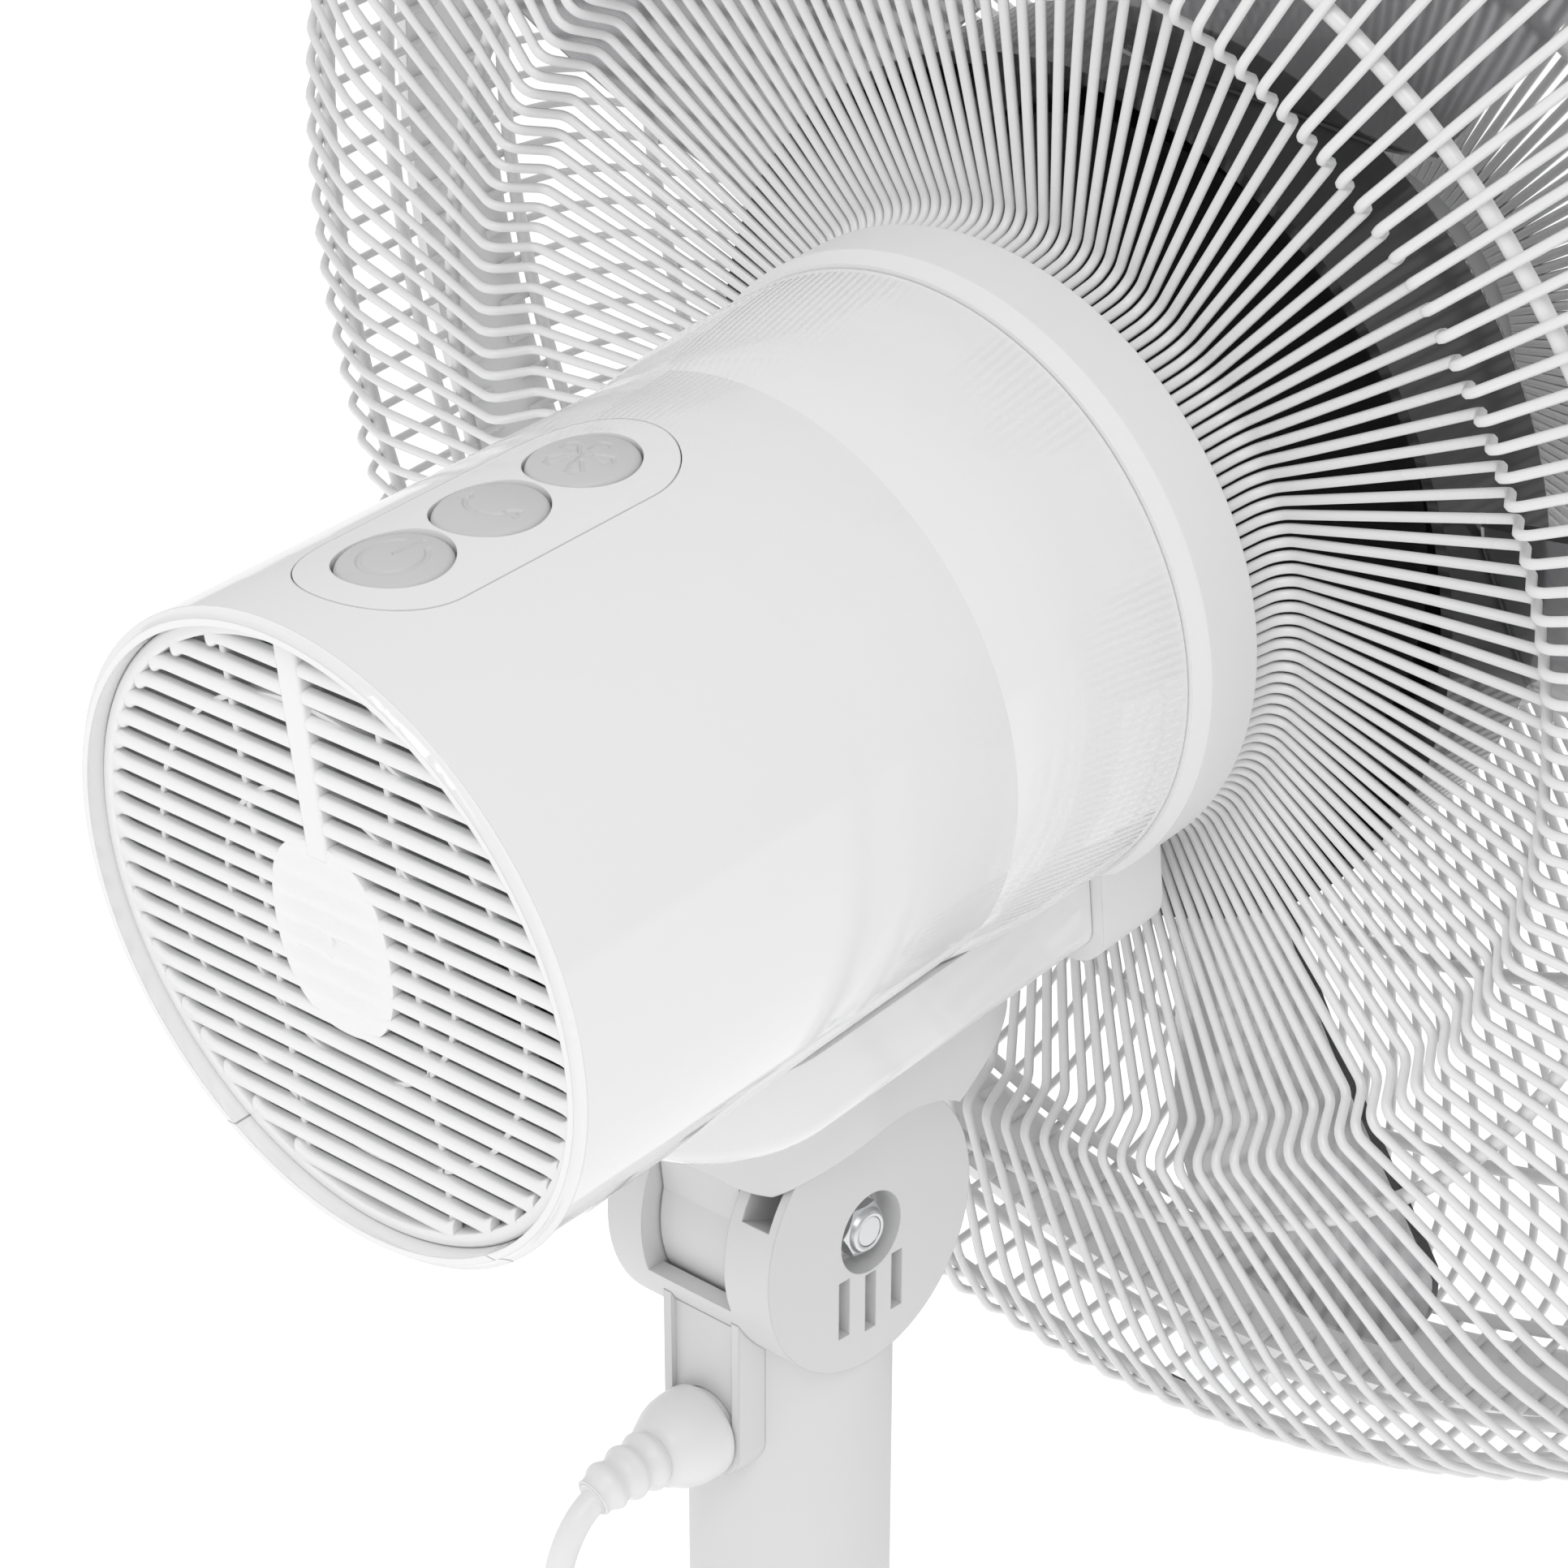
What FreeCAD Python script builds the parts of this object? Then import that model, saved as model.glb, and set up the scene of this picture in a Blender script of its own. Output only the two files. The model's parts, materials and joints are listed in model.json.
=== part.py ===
import FreeCAD, Part
import ast
import math
import operator
import os
import re
import Sketcher

# Pedestal fan: round weighted base, two-part pole, tilting neck, swinging motor head, wire guard.
# World frame: origin on the floor under the pole, +Z up, the fan blows towards -Y.
# Three local frames are used.
#   stand: the world frame.
#   tilt:  origin on the tilt bolt, turned with the head about X.
#   shaft: origin at the centre of the collar's front edge, +Z backwards along the motor shaft,
#          +Y downwards.

Vector = FreeCAD.Vector
Rotation = FreeCAD.Rotation
Placement = FreeCAD.Placement

SIZES = [
    # stand
    ("base_radius", 197, "outer radius of the round base"),
    ("base_edge", 10, "height of the base cover's edge above the floor"),
    ("base_top", 24, "height of the base cover at its middle"),
    ("base_dome", 1100, "radius of the base cover's domed top"),
    ("base_skirt", 3.6, "gap between the base cover's edge and the floor"),
    ("base_wall", 2.5, "wall of the base cover"),
    ("foot_radius", 11, "radius of a rubber foot"),
    ("foot_height", 3, "height of a rubber foot"),
    ("foot_circle", 150, "radius of the circle of feet"),
    ("weight_radius", 170, "radius of the steel weight plate"),
    ("weight_thick", 4.8, "thickness of the steel weight plate"),
    ("flange_radius", 30, "radius of the pole socket's flange"),
    ("flange_thick", 4.2, "thickness of the pole socket's flange"),
    ("plug_length", 95, "length of pole that the base socket holds"),
    ("pole_radius", 19, "outer radius of the steel pole"),
    ("pole_wall", 1.2, "wall of the steel pole"),
    ("pole_fit", 0.05, "radial clearance of every push fit on the pole"),
    ("joiner_height", 445, "height of the joint between the two poles"),
    ("joiner_half", 50, "length of joiner inside each pole"),
    ("joiner_band", 4, "height of the joiner's visible band"),
    ("screw_radius", 2, "radius of the stand's screws"),
    ("screw_length", 7, "length of the stand's screws"),
    ("screw_head", 3.6, "head radius of the stand's screws"),
    ("screw_head_high", 2.2, "head height of the stand's screws"),
    ("trim_radius", 31, "outer radius of the trim ring at the foot of the pole"),
    ("trim_height", 12, "height of the trim ring"),
    # neck
    ("hinge_height", 900, "height of the tilt bolt above the floor"),
    ("neck_radius", 20.2, "outer radius of the neck tube"),
    ("neck_drop", 112, "neck's lower end below the tilt bolt"),
    ("pole_seat", 62, "top of the pole below the tilt bolt"),
    ("duct_radius", 7, "radius of the cable duct in the neck"),
    ("ear_radius", 28.7, "radius of the neck's round ears"),
    ("ear_outer", 21, "outer face of each ear from the pole axis"),
    ("ear_inner", 9.7, "inner face of the disc ear from the pole axis"),
    ("ear_inner_b", 12, "inner face of the plain ear from the pole axis"),
    ("cradle_drop", 10, "rim of the cradle below the tilt bolt"),
    ("barrel_radius", 24, "radius of the tilt barrel"),
    ("barrel_gap", 0.8, "radial gap round the tilt barrel"),
    ("side_gap", 0.5, "gap between the barrel's ends and the ears"),
    ("bolt_radius", 3, "radius of the tilt bolt"),
    ("bolt_recess", 8.45, "radius of the recess round the nut"),
    ("recess_depth", 6, "depth of the recess round the nut"),
    ("washer_radius", 6.6, "radius of the tilt bolt's washers"),
    ("washer_thick", 1.2, "thickness of the tilt bolt's washers"),
    ("nut_thick", 4.6, "thickness of the tilt nut and bolt head"),
    ("nut_radius", 5.8, "radius across the corners of nut and bolt head"),
    ("slot_width", 3, "width of a slot in the disc ear"),
    ("slot_length", 12.5, "length of a slot in the disc ear"),
    ("slot_low", 21.5, "lower end of the slots below the tilt bolt"),
    ("slot_pitch", 7.5, "spacing of the slots in the disc ear"),
    ("slot_depth", 5, "depth of the slots in the disc ear"),
    ("pocket_angle", 40, "angle that each rim pocket of the disc ear spans"),
    ("pocket_floor", 17, "radius of the floor of the rim pockets"),
    ("pocket_width", 6.8, "width of the rim pockets"),
    ("pocket_side", 1.8, "wall outside the rim pockets"),
    # power inlet and cord connector
    ("block_half", 9.9, "half width of the socket block on the neck"),
    ("block_back", 25, "rear face of the socket block from the pole axis"),
    ("block_drop", 50, "lower end of the socket block below the tilt bolt"),
    ("block_round", 6, "corner radius of the socket block"),
    ("panel_edge", 2, "rim round the socket block's sunk panel"),
    ("panel_depth", 1.2, "depth of the socket block's sunk panel"),
    ("inlet_drop", 41.5, "power inlet below the tilt bolt"),
    ("inlet_radius", 8.2, "radius of the power inlet's hole"),
    ("inlet_floor", 14.5, "inner end of the power inlet from the pole axis"),
    ("pin_radius", 1.2, "radius of a power pin"),
    ("pin_offset", 3.2, "power pins either side of the inlet's centre"),
    ("grip_radius", 9.6, "radius of the cord connector's grip"),
    ("grip_length", 8.8, "length of the cord connector's grip"),
    ("grip_taper", 5, "length of the taper behind the grip"),
    ("relief_length", 8, "length of the moulded strain relief"),
    ("coil_radius", 30, "radius of the stored coil at the middle of its turns"),
    ("coil_bundle", 6, "half the width of the stored coil's bundle"),
    ("tie_width", 8, "width of the coil's tie"),
    ("mains_width", 27, "width of the mains plug"),
    ("mains_length", 30, "length of the mains plug's body"),
    ("mains_thick", 13, "thickness of the mains plug"),
    ("mains_round", 5, "corner radius of the mains plug"),
    ("mains_tail", 22, "length of the mains plug's strain relief"),
    ("cord_radius", 2.7, "radius of the power cord"),
    # head
    ("rest_tilt", 7, "degrees that the head leans back at rest"),
    ("axis_forward", 68, "collar's front edge in front of the tilt bolt"),
    ("axis_rise", 110.5, "motor axis above the tilt bolt"),
    ("platform_low", 20, "underside of the swing platform above the tilt bolt"),
    ("platform_top", 41.5, "top of the swing platform above the tilt bolt"),
    ("platform_half", 30, "half width of the swing platform"),
    ("platform_front", 46, "front of the swing platform from the swing axis"),
    ("platform_back", 24, "back of the swing platform from the swing axis"),
    ("platform_round", 21, "corner radius of the swing platform"),
    ("ear_gap", 1, "gap between the swing platform and the ears"),
    ("post_radius", 7, "outer radius of the hollow swing post"),
    ("post_bore", 4, "bore of the hollow swing post"),
    ("post_top", 56, "top of the swing post above the tilt bolt"),
    ("run_fit", 0.05, "radial clearance of the running fits"),
    ("keel_low", 43.2, "underside of the bottom cover above the tilt bolt"),
    ("keel_half", 37.4, "half width of the bottom cover"),
    ("keel_end", 120, "rear end of the bottom cover's bulge behind the collar"),
    ("keel_round", 27, "plan radius of the bulge's rear corners"),
    ("keel_edge", 5, "radius along the bulge's lower edge"),
    ("gear_low", 47, "underside of the swing gears above the tilt bolt"),
    ("gear_thick", 5, "thickness of the swing gears"),
    ("gear_module", 1.25, "module of the swing gears"),
    ("ring_teeth", 36, "teeth of the fixed swing gear"),
    ("pinion_teeth", 12, "teeth of the swing pinion"),
    ("gear_backlash", 0.3, "play between the swing gears' teeth"),
    ("swing_motor_radius", 20, "radius of the swing motor"),
    ("swing_motor_low", 53.5, "underside of the swing motor above the tilt bolt"),
    ("swing_motor_high", 11, "height of the swing motor"),
    ("collar_radius", 65, "outer radius of the collar"),
    ("collar_depth", 18, "depth of the collar"),
    ("collar_lip", 2.6, "wall of the collar's front lip"),
    ("collar_web", 9, "collar's front web behind the front edge"),
    ("web_thick", 3, "thickness of the collar's web"),
    ("chin_half", 40, "half width of the collar's squared chin"),
    ("chin_drop", 71, "underside of the chin below the motor axis"),
    ("chin_round", 8, "corner radius of the chin"),
    ("boss_radius", 20, "radius of the collar's threaded boss"),
    ("boss_bore", 16, "bore of the collar's threaded boss"),
    ("seam_gap", 0.2, "gap at each seam of the housing"),
    ("seam_radius", 62.8, "housing radius at the collar"),
    ("waist_radius", 59.9, "housing radius where its flare ends"),
    ("waist_depth", 62, "end of the housing's flare behind the collar"),
    ("flare_radius", 200, "radius of the housing's flare"),
    ("tail_radius", 60.9, "housing radius at the rear rim"),
    ("shell_end", 170, "rear rim of the housing behind the collar"),
    ("shell_wall", 3, "wall of the housing"),
    ("split_drop", 48.4, "seam of the bottom cover below the motor axis"),
    ("split_half", 38.2, "half width of the opening for the bottom cover"),
    ("grille_back", 167, "rear face of the grille behind the collar"),
    ("grille_thick", 4, "thickness of the rear grille"),
    ("slat_thick", 2.2, "thickness of a grille slat"),
    ("slat_count", 21, "number of grille slats"),
    ("oval_radius", 15.5, "radius of the grille's solid middle"),
    # controls
    ("button_radius", 10, "radius of a button"),
    ("button_pitch", 21.6, "spacing of the buttons"),
    ("button_depth", 120.5, "middle button behind the collar's front edge"),
    ("button_rise", 61.1, "top of the buttons above the motor axis"),
    ("button_gap", 0.3, "radial gap round a button"),
    ("button_dome", 42, "radius of a button's domed top"),
    ("button_edge", 1.2, "edge of a button below the middle of its top"),
    ("button_travel", 1.2, "travel of a button"),
    ("pill_half", 16.5, "half width of the control panel"),
    ("pill_length", 76, "length of the control panel"),
    ("panel_gap", 0.15, "gap round the control panel"),
    ("board_rise", 46, "underside of the control board above the motor axis"),
    ("board_thick", 1.6, "thickness of the control board"),
    # motor
    ("motor_radius", 42, "outer radius of the motor"),
    ("stator_bore", 22, "bore of the stator"),
    ("stator_front", 38, "front of the stator behind the collar"),
    ("stator_length", 24, "length of the stator stack"),
    ("motor_back", 88, "rear of the motor behind the collar"),
    ("bearing_radius", 8, "outer radius of a motor bearing"),
    ("bearing_length", 6, "length of a motor bearing"),
    ("spindle_radius", 4, "radius of the motor shaft"),
    ("spindle_front", 74, "front end of the motor shaft before the collar"),
    # fan
    ("blade_tip", 194, "radius of the blade tips"),
    ("hub_radius", 90, "radius of the fan's hub"),
    ("hub_rib", 70, "radius of the stiffening ring inside the hub"),
    ("hub_front", 60, "front of the hub before the collar"),
    ("hub_back", 24, "back of the hub before the collar"),
    ("blade_count", 5, "number of blades"),
    ("blade_middle", 48, "middle of the blades before the collar"),
    ("blade_thick", 2.4, "thickness of a blade"),
    ("blade_span", 96, "greatest width of a blade"),
    ("blade_round", 34, "radius of a blade's outer corners"),
    ("blade_turn", 48, "degrees that the first blade is turned from the top"),
    # guard
    ("wire_radius", 1, "radius of a guard wire"),
    ("hoop_radius", 1.6, "radius of the wire of a guard hoop"),
    ("wire_count", 160, "number of wires in each half of the guard"),
    ("weld_bite", 0.15, "depth that wires and hoops melt into each other"),
    ("guard_root", 61, "radius where the rear wires start"),
    ("guard_radius", 227.5, "radius of the guard's cylindrical side"),
    ("band_front", 92, "front edge of the plastic band before the collar"),
    ("band_back", 66, "rear edge of the plastic band before the collar"),
    ("band_wall", 3.2, "wall of the plastic band"),
    ("guard_front", 122, "front of the guard before the collar"),
    ("badge_radius", 44, "radius of the plain centre badge"),
]
NUMBERS = {alias: number for alias, number, note in SIZES}
WORD = re.compile(r"[a-z][a-z_]+")
SUMS = {ast.Add: operator.add, ast.Sub: operator.sub, ast.Mult: operator.mul, ast.Div: operator.truediv}

doc = FreeCAD.newDocument("PedestalFan")
sheet = doc.addObject("Spreadsheet::Sheet", "Sizes")
for row, (alias, number, note) in enumerate(SIZES, start=1):
    sheet.set("A%d" % row, note)
    sheet.set("B%d" % row, str(number))
    sheet.setAlias("B%d" % row, alias)
doc.recompute()


# ---------------------------------------------------------------- sizes and frames

def sum_up(term):
    """Work out one term of a size expression."""
    if isinstance(term, ast.BinOp):
        return SUMS[type(term.op)](sum_up(term.left), sum_up(term.right))
    if isinstance(term, ast.UnaryOp):
        return -sum_up(term.operand)
    if isinstance(term, ast.Name):
        return float(NUMBERS[term.id])
    return float(term.value)


def value(text):
    """The number that a size expression gives."""
    return sum_up(ast.parse(text).body[0].value)


def bind(item, prop, text):
    """Bind a property to the sheet."""
    item.setExpression(prop, WORD.sub(lambda found: "Sizes." + found.group() if found.group() in NUMBERS
                                      else found.group(), text))


TURN = {"X": Rotation(Vector(0, 1, 0), 90), "Y": Rotation(Vector(1, 0, 0), -90), "Z": Rotation()}
serial = [0]


def make(kind, **sizes):
    """A Part primitive whose sizes are bound to the sheet."""
    serial[0] += 1
    item = doc.addObject("Part::" + kind, "%s%03d" % (kind, serial[0]))
    for prop, text in sizes.items():
        bind(item, prop, text)
    return item


def put(item, x="0", y="0", z="0", along="Z", spin=0):
    """Place a primitive: its own Z axis points along X, Y or Z, after a turn about itself."""
    item.Placement = Placement(Vector(), TURN[along] * Rotation(Vector(0, 0, 1), spin))
    for name, text in zip("xyz", (x, y, z)):
        bind(item, "Placement.Base." + name, text)
    return item


def rod(radius, length, x="0", y="0", z="0", along="Z"):
    return put(make("Cylinder", Radius=radius, Height=length), x, y, z, along)


def block(width, depth, height, x="0", y="0", z="0"):
    """A box centred on x and y that stands on z."""
    item = make("Box", Length=width, Width=depth, Height=height)
    return put(item, "%s - (%s)/2" % (x, width), "%s - (%s)/2" % (y, depth), z)


def hoop(major, minor, z="0"):
    return put(make("Torus", Radius1=major, Radius2=minor), z=z)


def minus(base, *tools):
    cut = doc.addObject("Part::Cut", "Cut")
    cut.Base = base
    cut.Tool = tools[0] if len(tools) == 1 else plus(*tools)
    return cut


def plus(*items):
    joined = doc.addObject("Part::MultiFuse", "Fuse")
    joined.Shapes = list(items)
    return joined


def common(*items):
    shared = doc.addObject("Part::MultiCommon", "Common")
    shared.Shapes = list(items)
    return shared


def tube(outer, inner, length, x="0", y="0", z="0", along="Z"):
    return minus(rod(outer, length, x, y, z, along), rod(inner, length, x, y, z, along))


def rounded(item, radius, along="XYZ", test=None):
    """Round the straight edges of a block that run along the given axes."""
    doc.recompute()
    picked = []
    for number, edge in enumerate(item.Shape.Edges, start=1):
        if edge.Curve.TypeId != "Part::GeomLine":
            continue
        run = edge.Curve.Direction
        axis = "XYZ"[max(range(3), key=lambda i: abs(run[i]))]
        if axis in along and (test is None or test(edge.CenterOfMass)):
            picked.append((number, value(radius), value(radius)))
    fillet = doc.addObject("Part::Fillet", "Fillet")
    fillet.Base = item
    fillet.Edges = picked
    return fillet


def revolved(name, outline):
    """A PartDesign body: an outline of (radius, height) points turned about Z.

    A third entry is the radius of an arc that leaves the point, bulging to the left of the way to the
    next point, or to the right if the radius is negative.
    """
    body = doc.addObject("PartDesign::Body", name)
    plane = [part for part in body.Origin.OriginFeatures if part.Role == "XZ_Plane"][0]
    sketch = body.newObject("Sketcher::SketchObject", name + "Outline")
    sketch.AttachmentSupport = (plane, [""])
    sketch.MapMode = "FlatFace"
    spots = [Vector(value(point[0]), value(point[1]), 0) for point in outline]
    ends = []
    for index, point in enumerate(outline):
        start = spots[index]
        end = spots[(index + 1) % len(spots)]
        backwards = len(point) == 3 and value(point[2]) > 0
        ends.append((2, 1) if backwards else (1, 2))
        if len(point) == 2:
            sketch.addGeometry(Part.LineSegment(start, end), False)
            continue
        radius = value(point[2])
        chord = end - start
        side = Vector(-chord.y, chord.x, 0).normalize() * math.copysign(1, radius)
        middle = (start + end) / 2 + side * (abs(radius) - math.sqrt(radius * radius - chord.Length ** 2 / 4))
        arc = Part.Arc(end, middle, start) if backwards else Part.Arc(start, middle, end)
        sketch.addGeometry(arc, False)
    for index, point in enumerate(outline):
        following = (index + 1) % len(outline)
        sketch.addConstraint(Sketcher.Constraint("Coincident", index, ends[index][1], following,
                                                 ends[following][0]))
        for kind, text, number in (("DistanceX", point[0], spots[index].x),
                                   ("DistanceY", point[1], spots[index].y)):
            added = sketch.addConstraint(Sketcher.Constraint(kind, -1, 1, index, ends[index][0], number))
            bind(sketch, "Constraints[%d]" % added, text)
        if len(point) == 3:
            added = sketch.addConstraint(Sketcher.Constraint("Radius", index, abs(value(point[2]))))
            bind(sketch, "Constraints[%d]" % added, point[2].lstrip("-"))
    turned = body.newObject("PartDesign::Revolution", name + "Turned")
    turned.Profile = sketch
    turned.ReferenceAxis = (sketch, ["V_Axis"])
    turned.Angle = 360
    return body


def feature(shape):
    """A plain feature for a shape that sketches and primitives can't give."""
    item = doc.addObject("Part::Feature", "Shape")
    item.Shape = shape
    return item


NODES = []


def node(name, frame, *pieces):
    """One sub-part: its pieces, in one of the three frames, under its own label."""
    part = doc.addObject("Part::Compound", name)
    part.Label = name
    part.Links = list(pieces)
    if frame != "stand":
        lean = 90 if frame == "shaft" else 0
        part.Placement = Placement(Vector(), Rotation(Vector(1, 0, 0), -lean - NUMBERS["rest_tilt"]))
        bind(part, "Placement.Rotation.Angle", "%d + rest_tilt" % lean)
        part.Placement.Rotation.Axis = Vector(-1, 0, 0)
        bind(part, "Placement.Base.z", "hinge_height")
    if frame == "shaft":
        bind(part, "Placement.Base.y", "axis_rise * sin(rest_tilt) - axis_forward * cos(rest_tilt)")
        bind(part, "Placement.Base.z",
             "hinge_height + axis_forward * sin(rest_tilt) + axis_rise * cos(rest_tilt)")
    NODES.append(part)
    return part


# ---------------------------------------------------------------- stand

screw_seat = "pole_radius + 5.5"
screw_fit = "screw_radius + 0.03"
neck_screw_height = "hinge_height - neck_drop + 14"
screw_turns = [2 * math.pi * index / 3 + math.pi / 6 for index in range(3)]
screw_places = [(screw_seat + "*%.6f" % math.cos(turn), screw_seat + "*%.6f" % math.sin(turn))
                for turn in screw_turns]


def screw(x, y, z, along):
    """One of the stand's identical screws, its head standing on the given spot."""
    head = rod("screw_head", "screw_head_high", x, y, z, along)
    start = {"x": x, "y": y, "z": z}
    start["xyz"["XYZ".index(along)]] += " - screw_length"
    return plus(head, rod("screw_radius", "screw_length + 1", start["x"], start["y"], start["z"], along))


base_cover = revolved("BaseCoverBody", [
    ("base_radius", "base_skirt"),
    ("base_radius", "base_edge"),
    ("base_radius - 6", "base_edge + 3.5", "-base_dome"),
    ("trim_radius", "base_top"),
    ("flange_radius - 6", "base_top"),
    ("flange_radius - 6", "base_top - base_wall"),
    ("trim_radius", "base_top - base_wall", "base_dome"),
    ("base_radius - 8", "base_edge + 0.6"),
    ("base_radius - base_wall", "base_edge - 1"),
    ("base_radius - base_wall", "base_skirt"),
])
node("base_cover", "stand", base_cover)

weight_top = "foot_height + weight_thick"
foot_count = 5
feet = []
for index in range(foot_count):
    turn = 2 * math.pi * index / foot_count + math.pi / 2
    foot = rod("foot_radius", "foot_height", "foot_circle*%.6f" % math.cos(turn),
               "foot_circle*%.6f" % math.sin(turn))
    feet.append(foot)
weight_holes = [rod(screw_fit, "weight_thick + 2", across, along, "foot_height - 1")
                for across, along in screw_places]
node("base_weight", "stand", minus(tube("weight_radius", "bolt_radius + 1", "weight_thick",
                                        z="foot_height"), *weight_holes))
node("base_feet", "stand", *feet)

socket_plug = "pole_radius - pole_wall - pole_fit"
flange_top = "foot_height + weight_thick + flange_thick"
flange = rod("flange_radius", "flange_thick", z=weight_top)
plug = rod(socket_plug, "plug_length", z=flange_top)
plug_hole = rod("bolt_radius + 1", "flange_thick + plug_length + 2", z=weight_top + " - 1")
flange_holes = [rod(screw_fit, "flange_thick + 2", across, along, weight_top + " - 1")
                for across, along in screw_places]
node("pole_socket", "stand", minus(plus(flange, plug), plug_hole, *flange_holes))

clamp_head = rod("bolt_radius + 3.5", "foot_height - 0.8", z="0.8")
clamp_shank = rod("bolt_radius + 1", "weight_thick + flange_thick + 60", z="foot_height")
node("base_bolt", "stand", plus(clamp_head, clamp_shank))
node("stand_screws", "stand", *[screw(across, along, flange_top, "Z") for across, along in screw_places],
     screw("0", "neck_radius", neck_screw_height, "Y"))


node("pole_trim", "stand", revolved("PoleTrimBody", [
    ("pole_radius + pole_fit", "base_top"),
    ("trim_radius", "base_top"),
    ("trim_radius", "base_top + 3", "-trim_height"),
    ("pole_radius + 4", "base_top + trim_height"),
    ("pole_radius + pole_fit", "base_top + trim_height"),
]))

pole_hole = "pole_radius - pole_wall"
lower_length = "joiner_height - joiner_band/2 - foot_height - weight_thick - flange_thick"
node("lower_pole", "stand", tube("pole_radius", pole_hole, lower_length, z=flange_top))
upper_start = "joiner_height + joiner_band/2"
pole_top = "hinge_height - pole_seat"
upper_tube = tube("pole_radius", pole_hole, "%s - joiner_height - joiner_band/2" % pole_top, z=upper_start)
node("upper_pole", "stand", minus(upper_tube, rod(screw_fit, "pole_radius", z=neck_screw_height, along="Y")))
sleeve = rod(socket_plug, "joiner_half*2", z="joiner_height - joiner_half")
sleeve_band = rod("neck_radius", "joiner_band", z="joiner_height - joiner_band/2")
sleeve_hole = rod(socket_plug + " - 3", "joiner_half*2 + 2", z="joiner_height - joiner_half - 1")
node("pole_joiner", "stand", minus(plus(sleeve, sleeve_band), sleeve_hole))

# ---------------------------------------------------------------- neck

ear_span = "ear_outer - ear_inner"
ear_span_b = "ear_outer - ear_inner_b"
cradle_span = "ear_inner + ear_inner_b"
cradle_mid = "(ear_inner_b - ear_inner)/2"
neck_tube = rod("neck_radius", "neck_drop - bolt_radius*4", z="hinge_height - neck_drop")
disc_ear = rod("ear_radius", ear_span, x="-ear_outer", z="hinge_height", along="X")
plain_ear = rod("ear_radius", ear_span_b, x="ear_inner_b", z="hinge_height", along="X")
cradle = rod("ear_radius", cradle_span, x="-ear_inner", z="hinge_height", along="X")
neck_solid = plus(neck_tube, disc_ear, plain_ear, cradle)
barrel_room = rod("barrel_radius + barrel_gap", cradle_span, x="-ear_inner", z="hinge_height", along="X")
over_cradle = block(cradle_span, "ear_radius*2 + 2", "ear_radius + cradle_drop + 2", x=cradle_mid,
                    z="hinge_height - cradle_drop")
pole_bore = rod("pole_radius + pole_fit", "neck_drop - pole_seat + 1", z="hinge_height - neck_drop - 1")
duct = rod("duct_radius", "pole_seat - barrel_radius + 2", z=pole_top + " - 1")
bolt_hole = rod("bolt_radius + run_fit", "ear_outer*2 + 2", x="-ear_outer - 1", z="hinge_height", along="X")
nut_recess = rod("bolt_recess", "recess_depth + 1", x="-ear_outer - 1", z="hinge_height", along="X")
head_recess = rod("bolt_recess", "recess_depth + 1", x="ear_outer - recess_depth", z="hinge_height",
                  along="X")
inlet_hole = rod("inlet_radius", "block_back", y="inlet_floor - 2", z="hinge_height - inlet_drop", along="Y")
screw_hole = rod(screw_fit, "neck_radius", z=neck_screw_height, along="Y")
slots = []
for index, shorten in ((-1, "1.5"), (0, "0"), (1, "1.5")):
    slots.append(block("slot_depth*2", "slot_width", "slot_length", x="-ear_outer", y="slot_pitch*%d" % index,
                       z="hinge_height - slot_low + " + shorten))
pockets = []
for start in (22, 67):
    reach = make("Cylinder", Radius="ear_radius + 2", Height="pocket_width", Angle="pocket_angle")
    floor = make("Cylinder", Radius="pocket_floor", Height="pocket_width", Angle="pocket_angle")
    for wedge in (reach, floor):
        put(wedge, x="-ear_outer + pocket_side", z="hinge_height", along="X", spin=90)
        lean = Rotation(Vector(1, 0, 0), start)
        wedge.Placement.Rotation = lean * TURN["X"] * Rotation(Vector(0, 0, 1), 90)
    pockets.append(minus(reach, floor))
node("neck_body", "stand", minus(neck_solid, barrel_room, over_cradle, pole_bore, duct, bolt_hole, nut_recess,
                                 head_recess, inlet_hole, screw_hole, *slots, *pockets))

# ---------------------------------------------------------------- power inlet

inlet_height = "hinge_height - inlet_drop"
block_low = "hinge_height - block_drop"
raw_block = block("block_half*2", "block_back - inlet_floor", "block_drop - cradle_drop",
                  y="(block_back + inlet_floor)/2",
                  z=block_low)
soft_block = rounded(raw_block, "block_round", "Y",
                     lambda mid: mid.z < NUMBERS["hinge_height"] - NUMBERS["inlet_drop"])
neck_room = rod("neck_radius + 0.02", "block_drop*2", z="hinge_height - block_drop - 5")
ear_room = rod("ear_radius + 0.02", "ear_outer*2", x="-ear_outer", z="hinge_height", along="X")
panel_sink = block("block_half*2 - panel_edge*2", "panel_depth*2", "block_drop", y="block_back",
                   z=block_low + " + block_drop - inlet_drop + panel_edge")
connector_hole = rod("inlet_radius", "block_back", y="inlet_floor - 2", z=inlet_height, along="Y")
node("socket_block", "stand", minus(soft_block, neck_room, ear_room, panel_sink, connector_hole))

inlet_core = rod("inlet_radius - pole_fit", "4", y="inlet_floor", z=inlet_height, along="Y")
pins = [rod("pin_radius", "block_back - inlet_floor", x="pin_offset*%d" % side, y="inlet_floor + 2",
            z=inlet_height, along="Y") for side in (-1, 1)]
node("power_inlet", "stand", plus(inlet_core, *pins))

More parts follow.
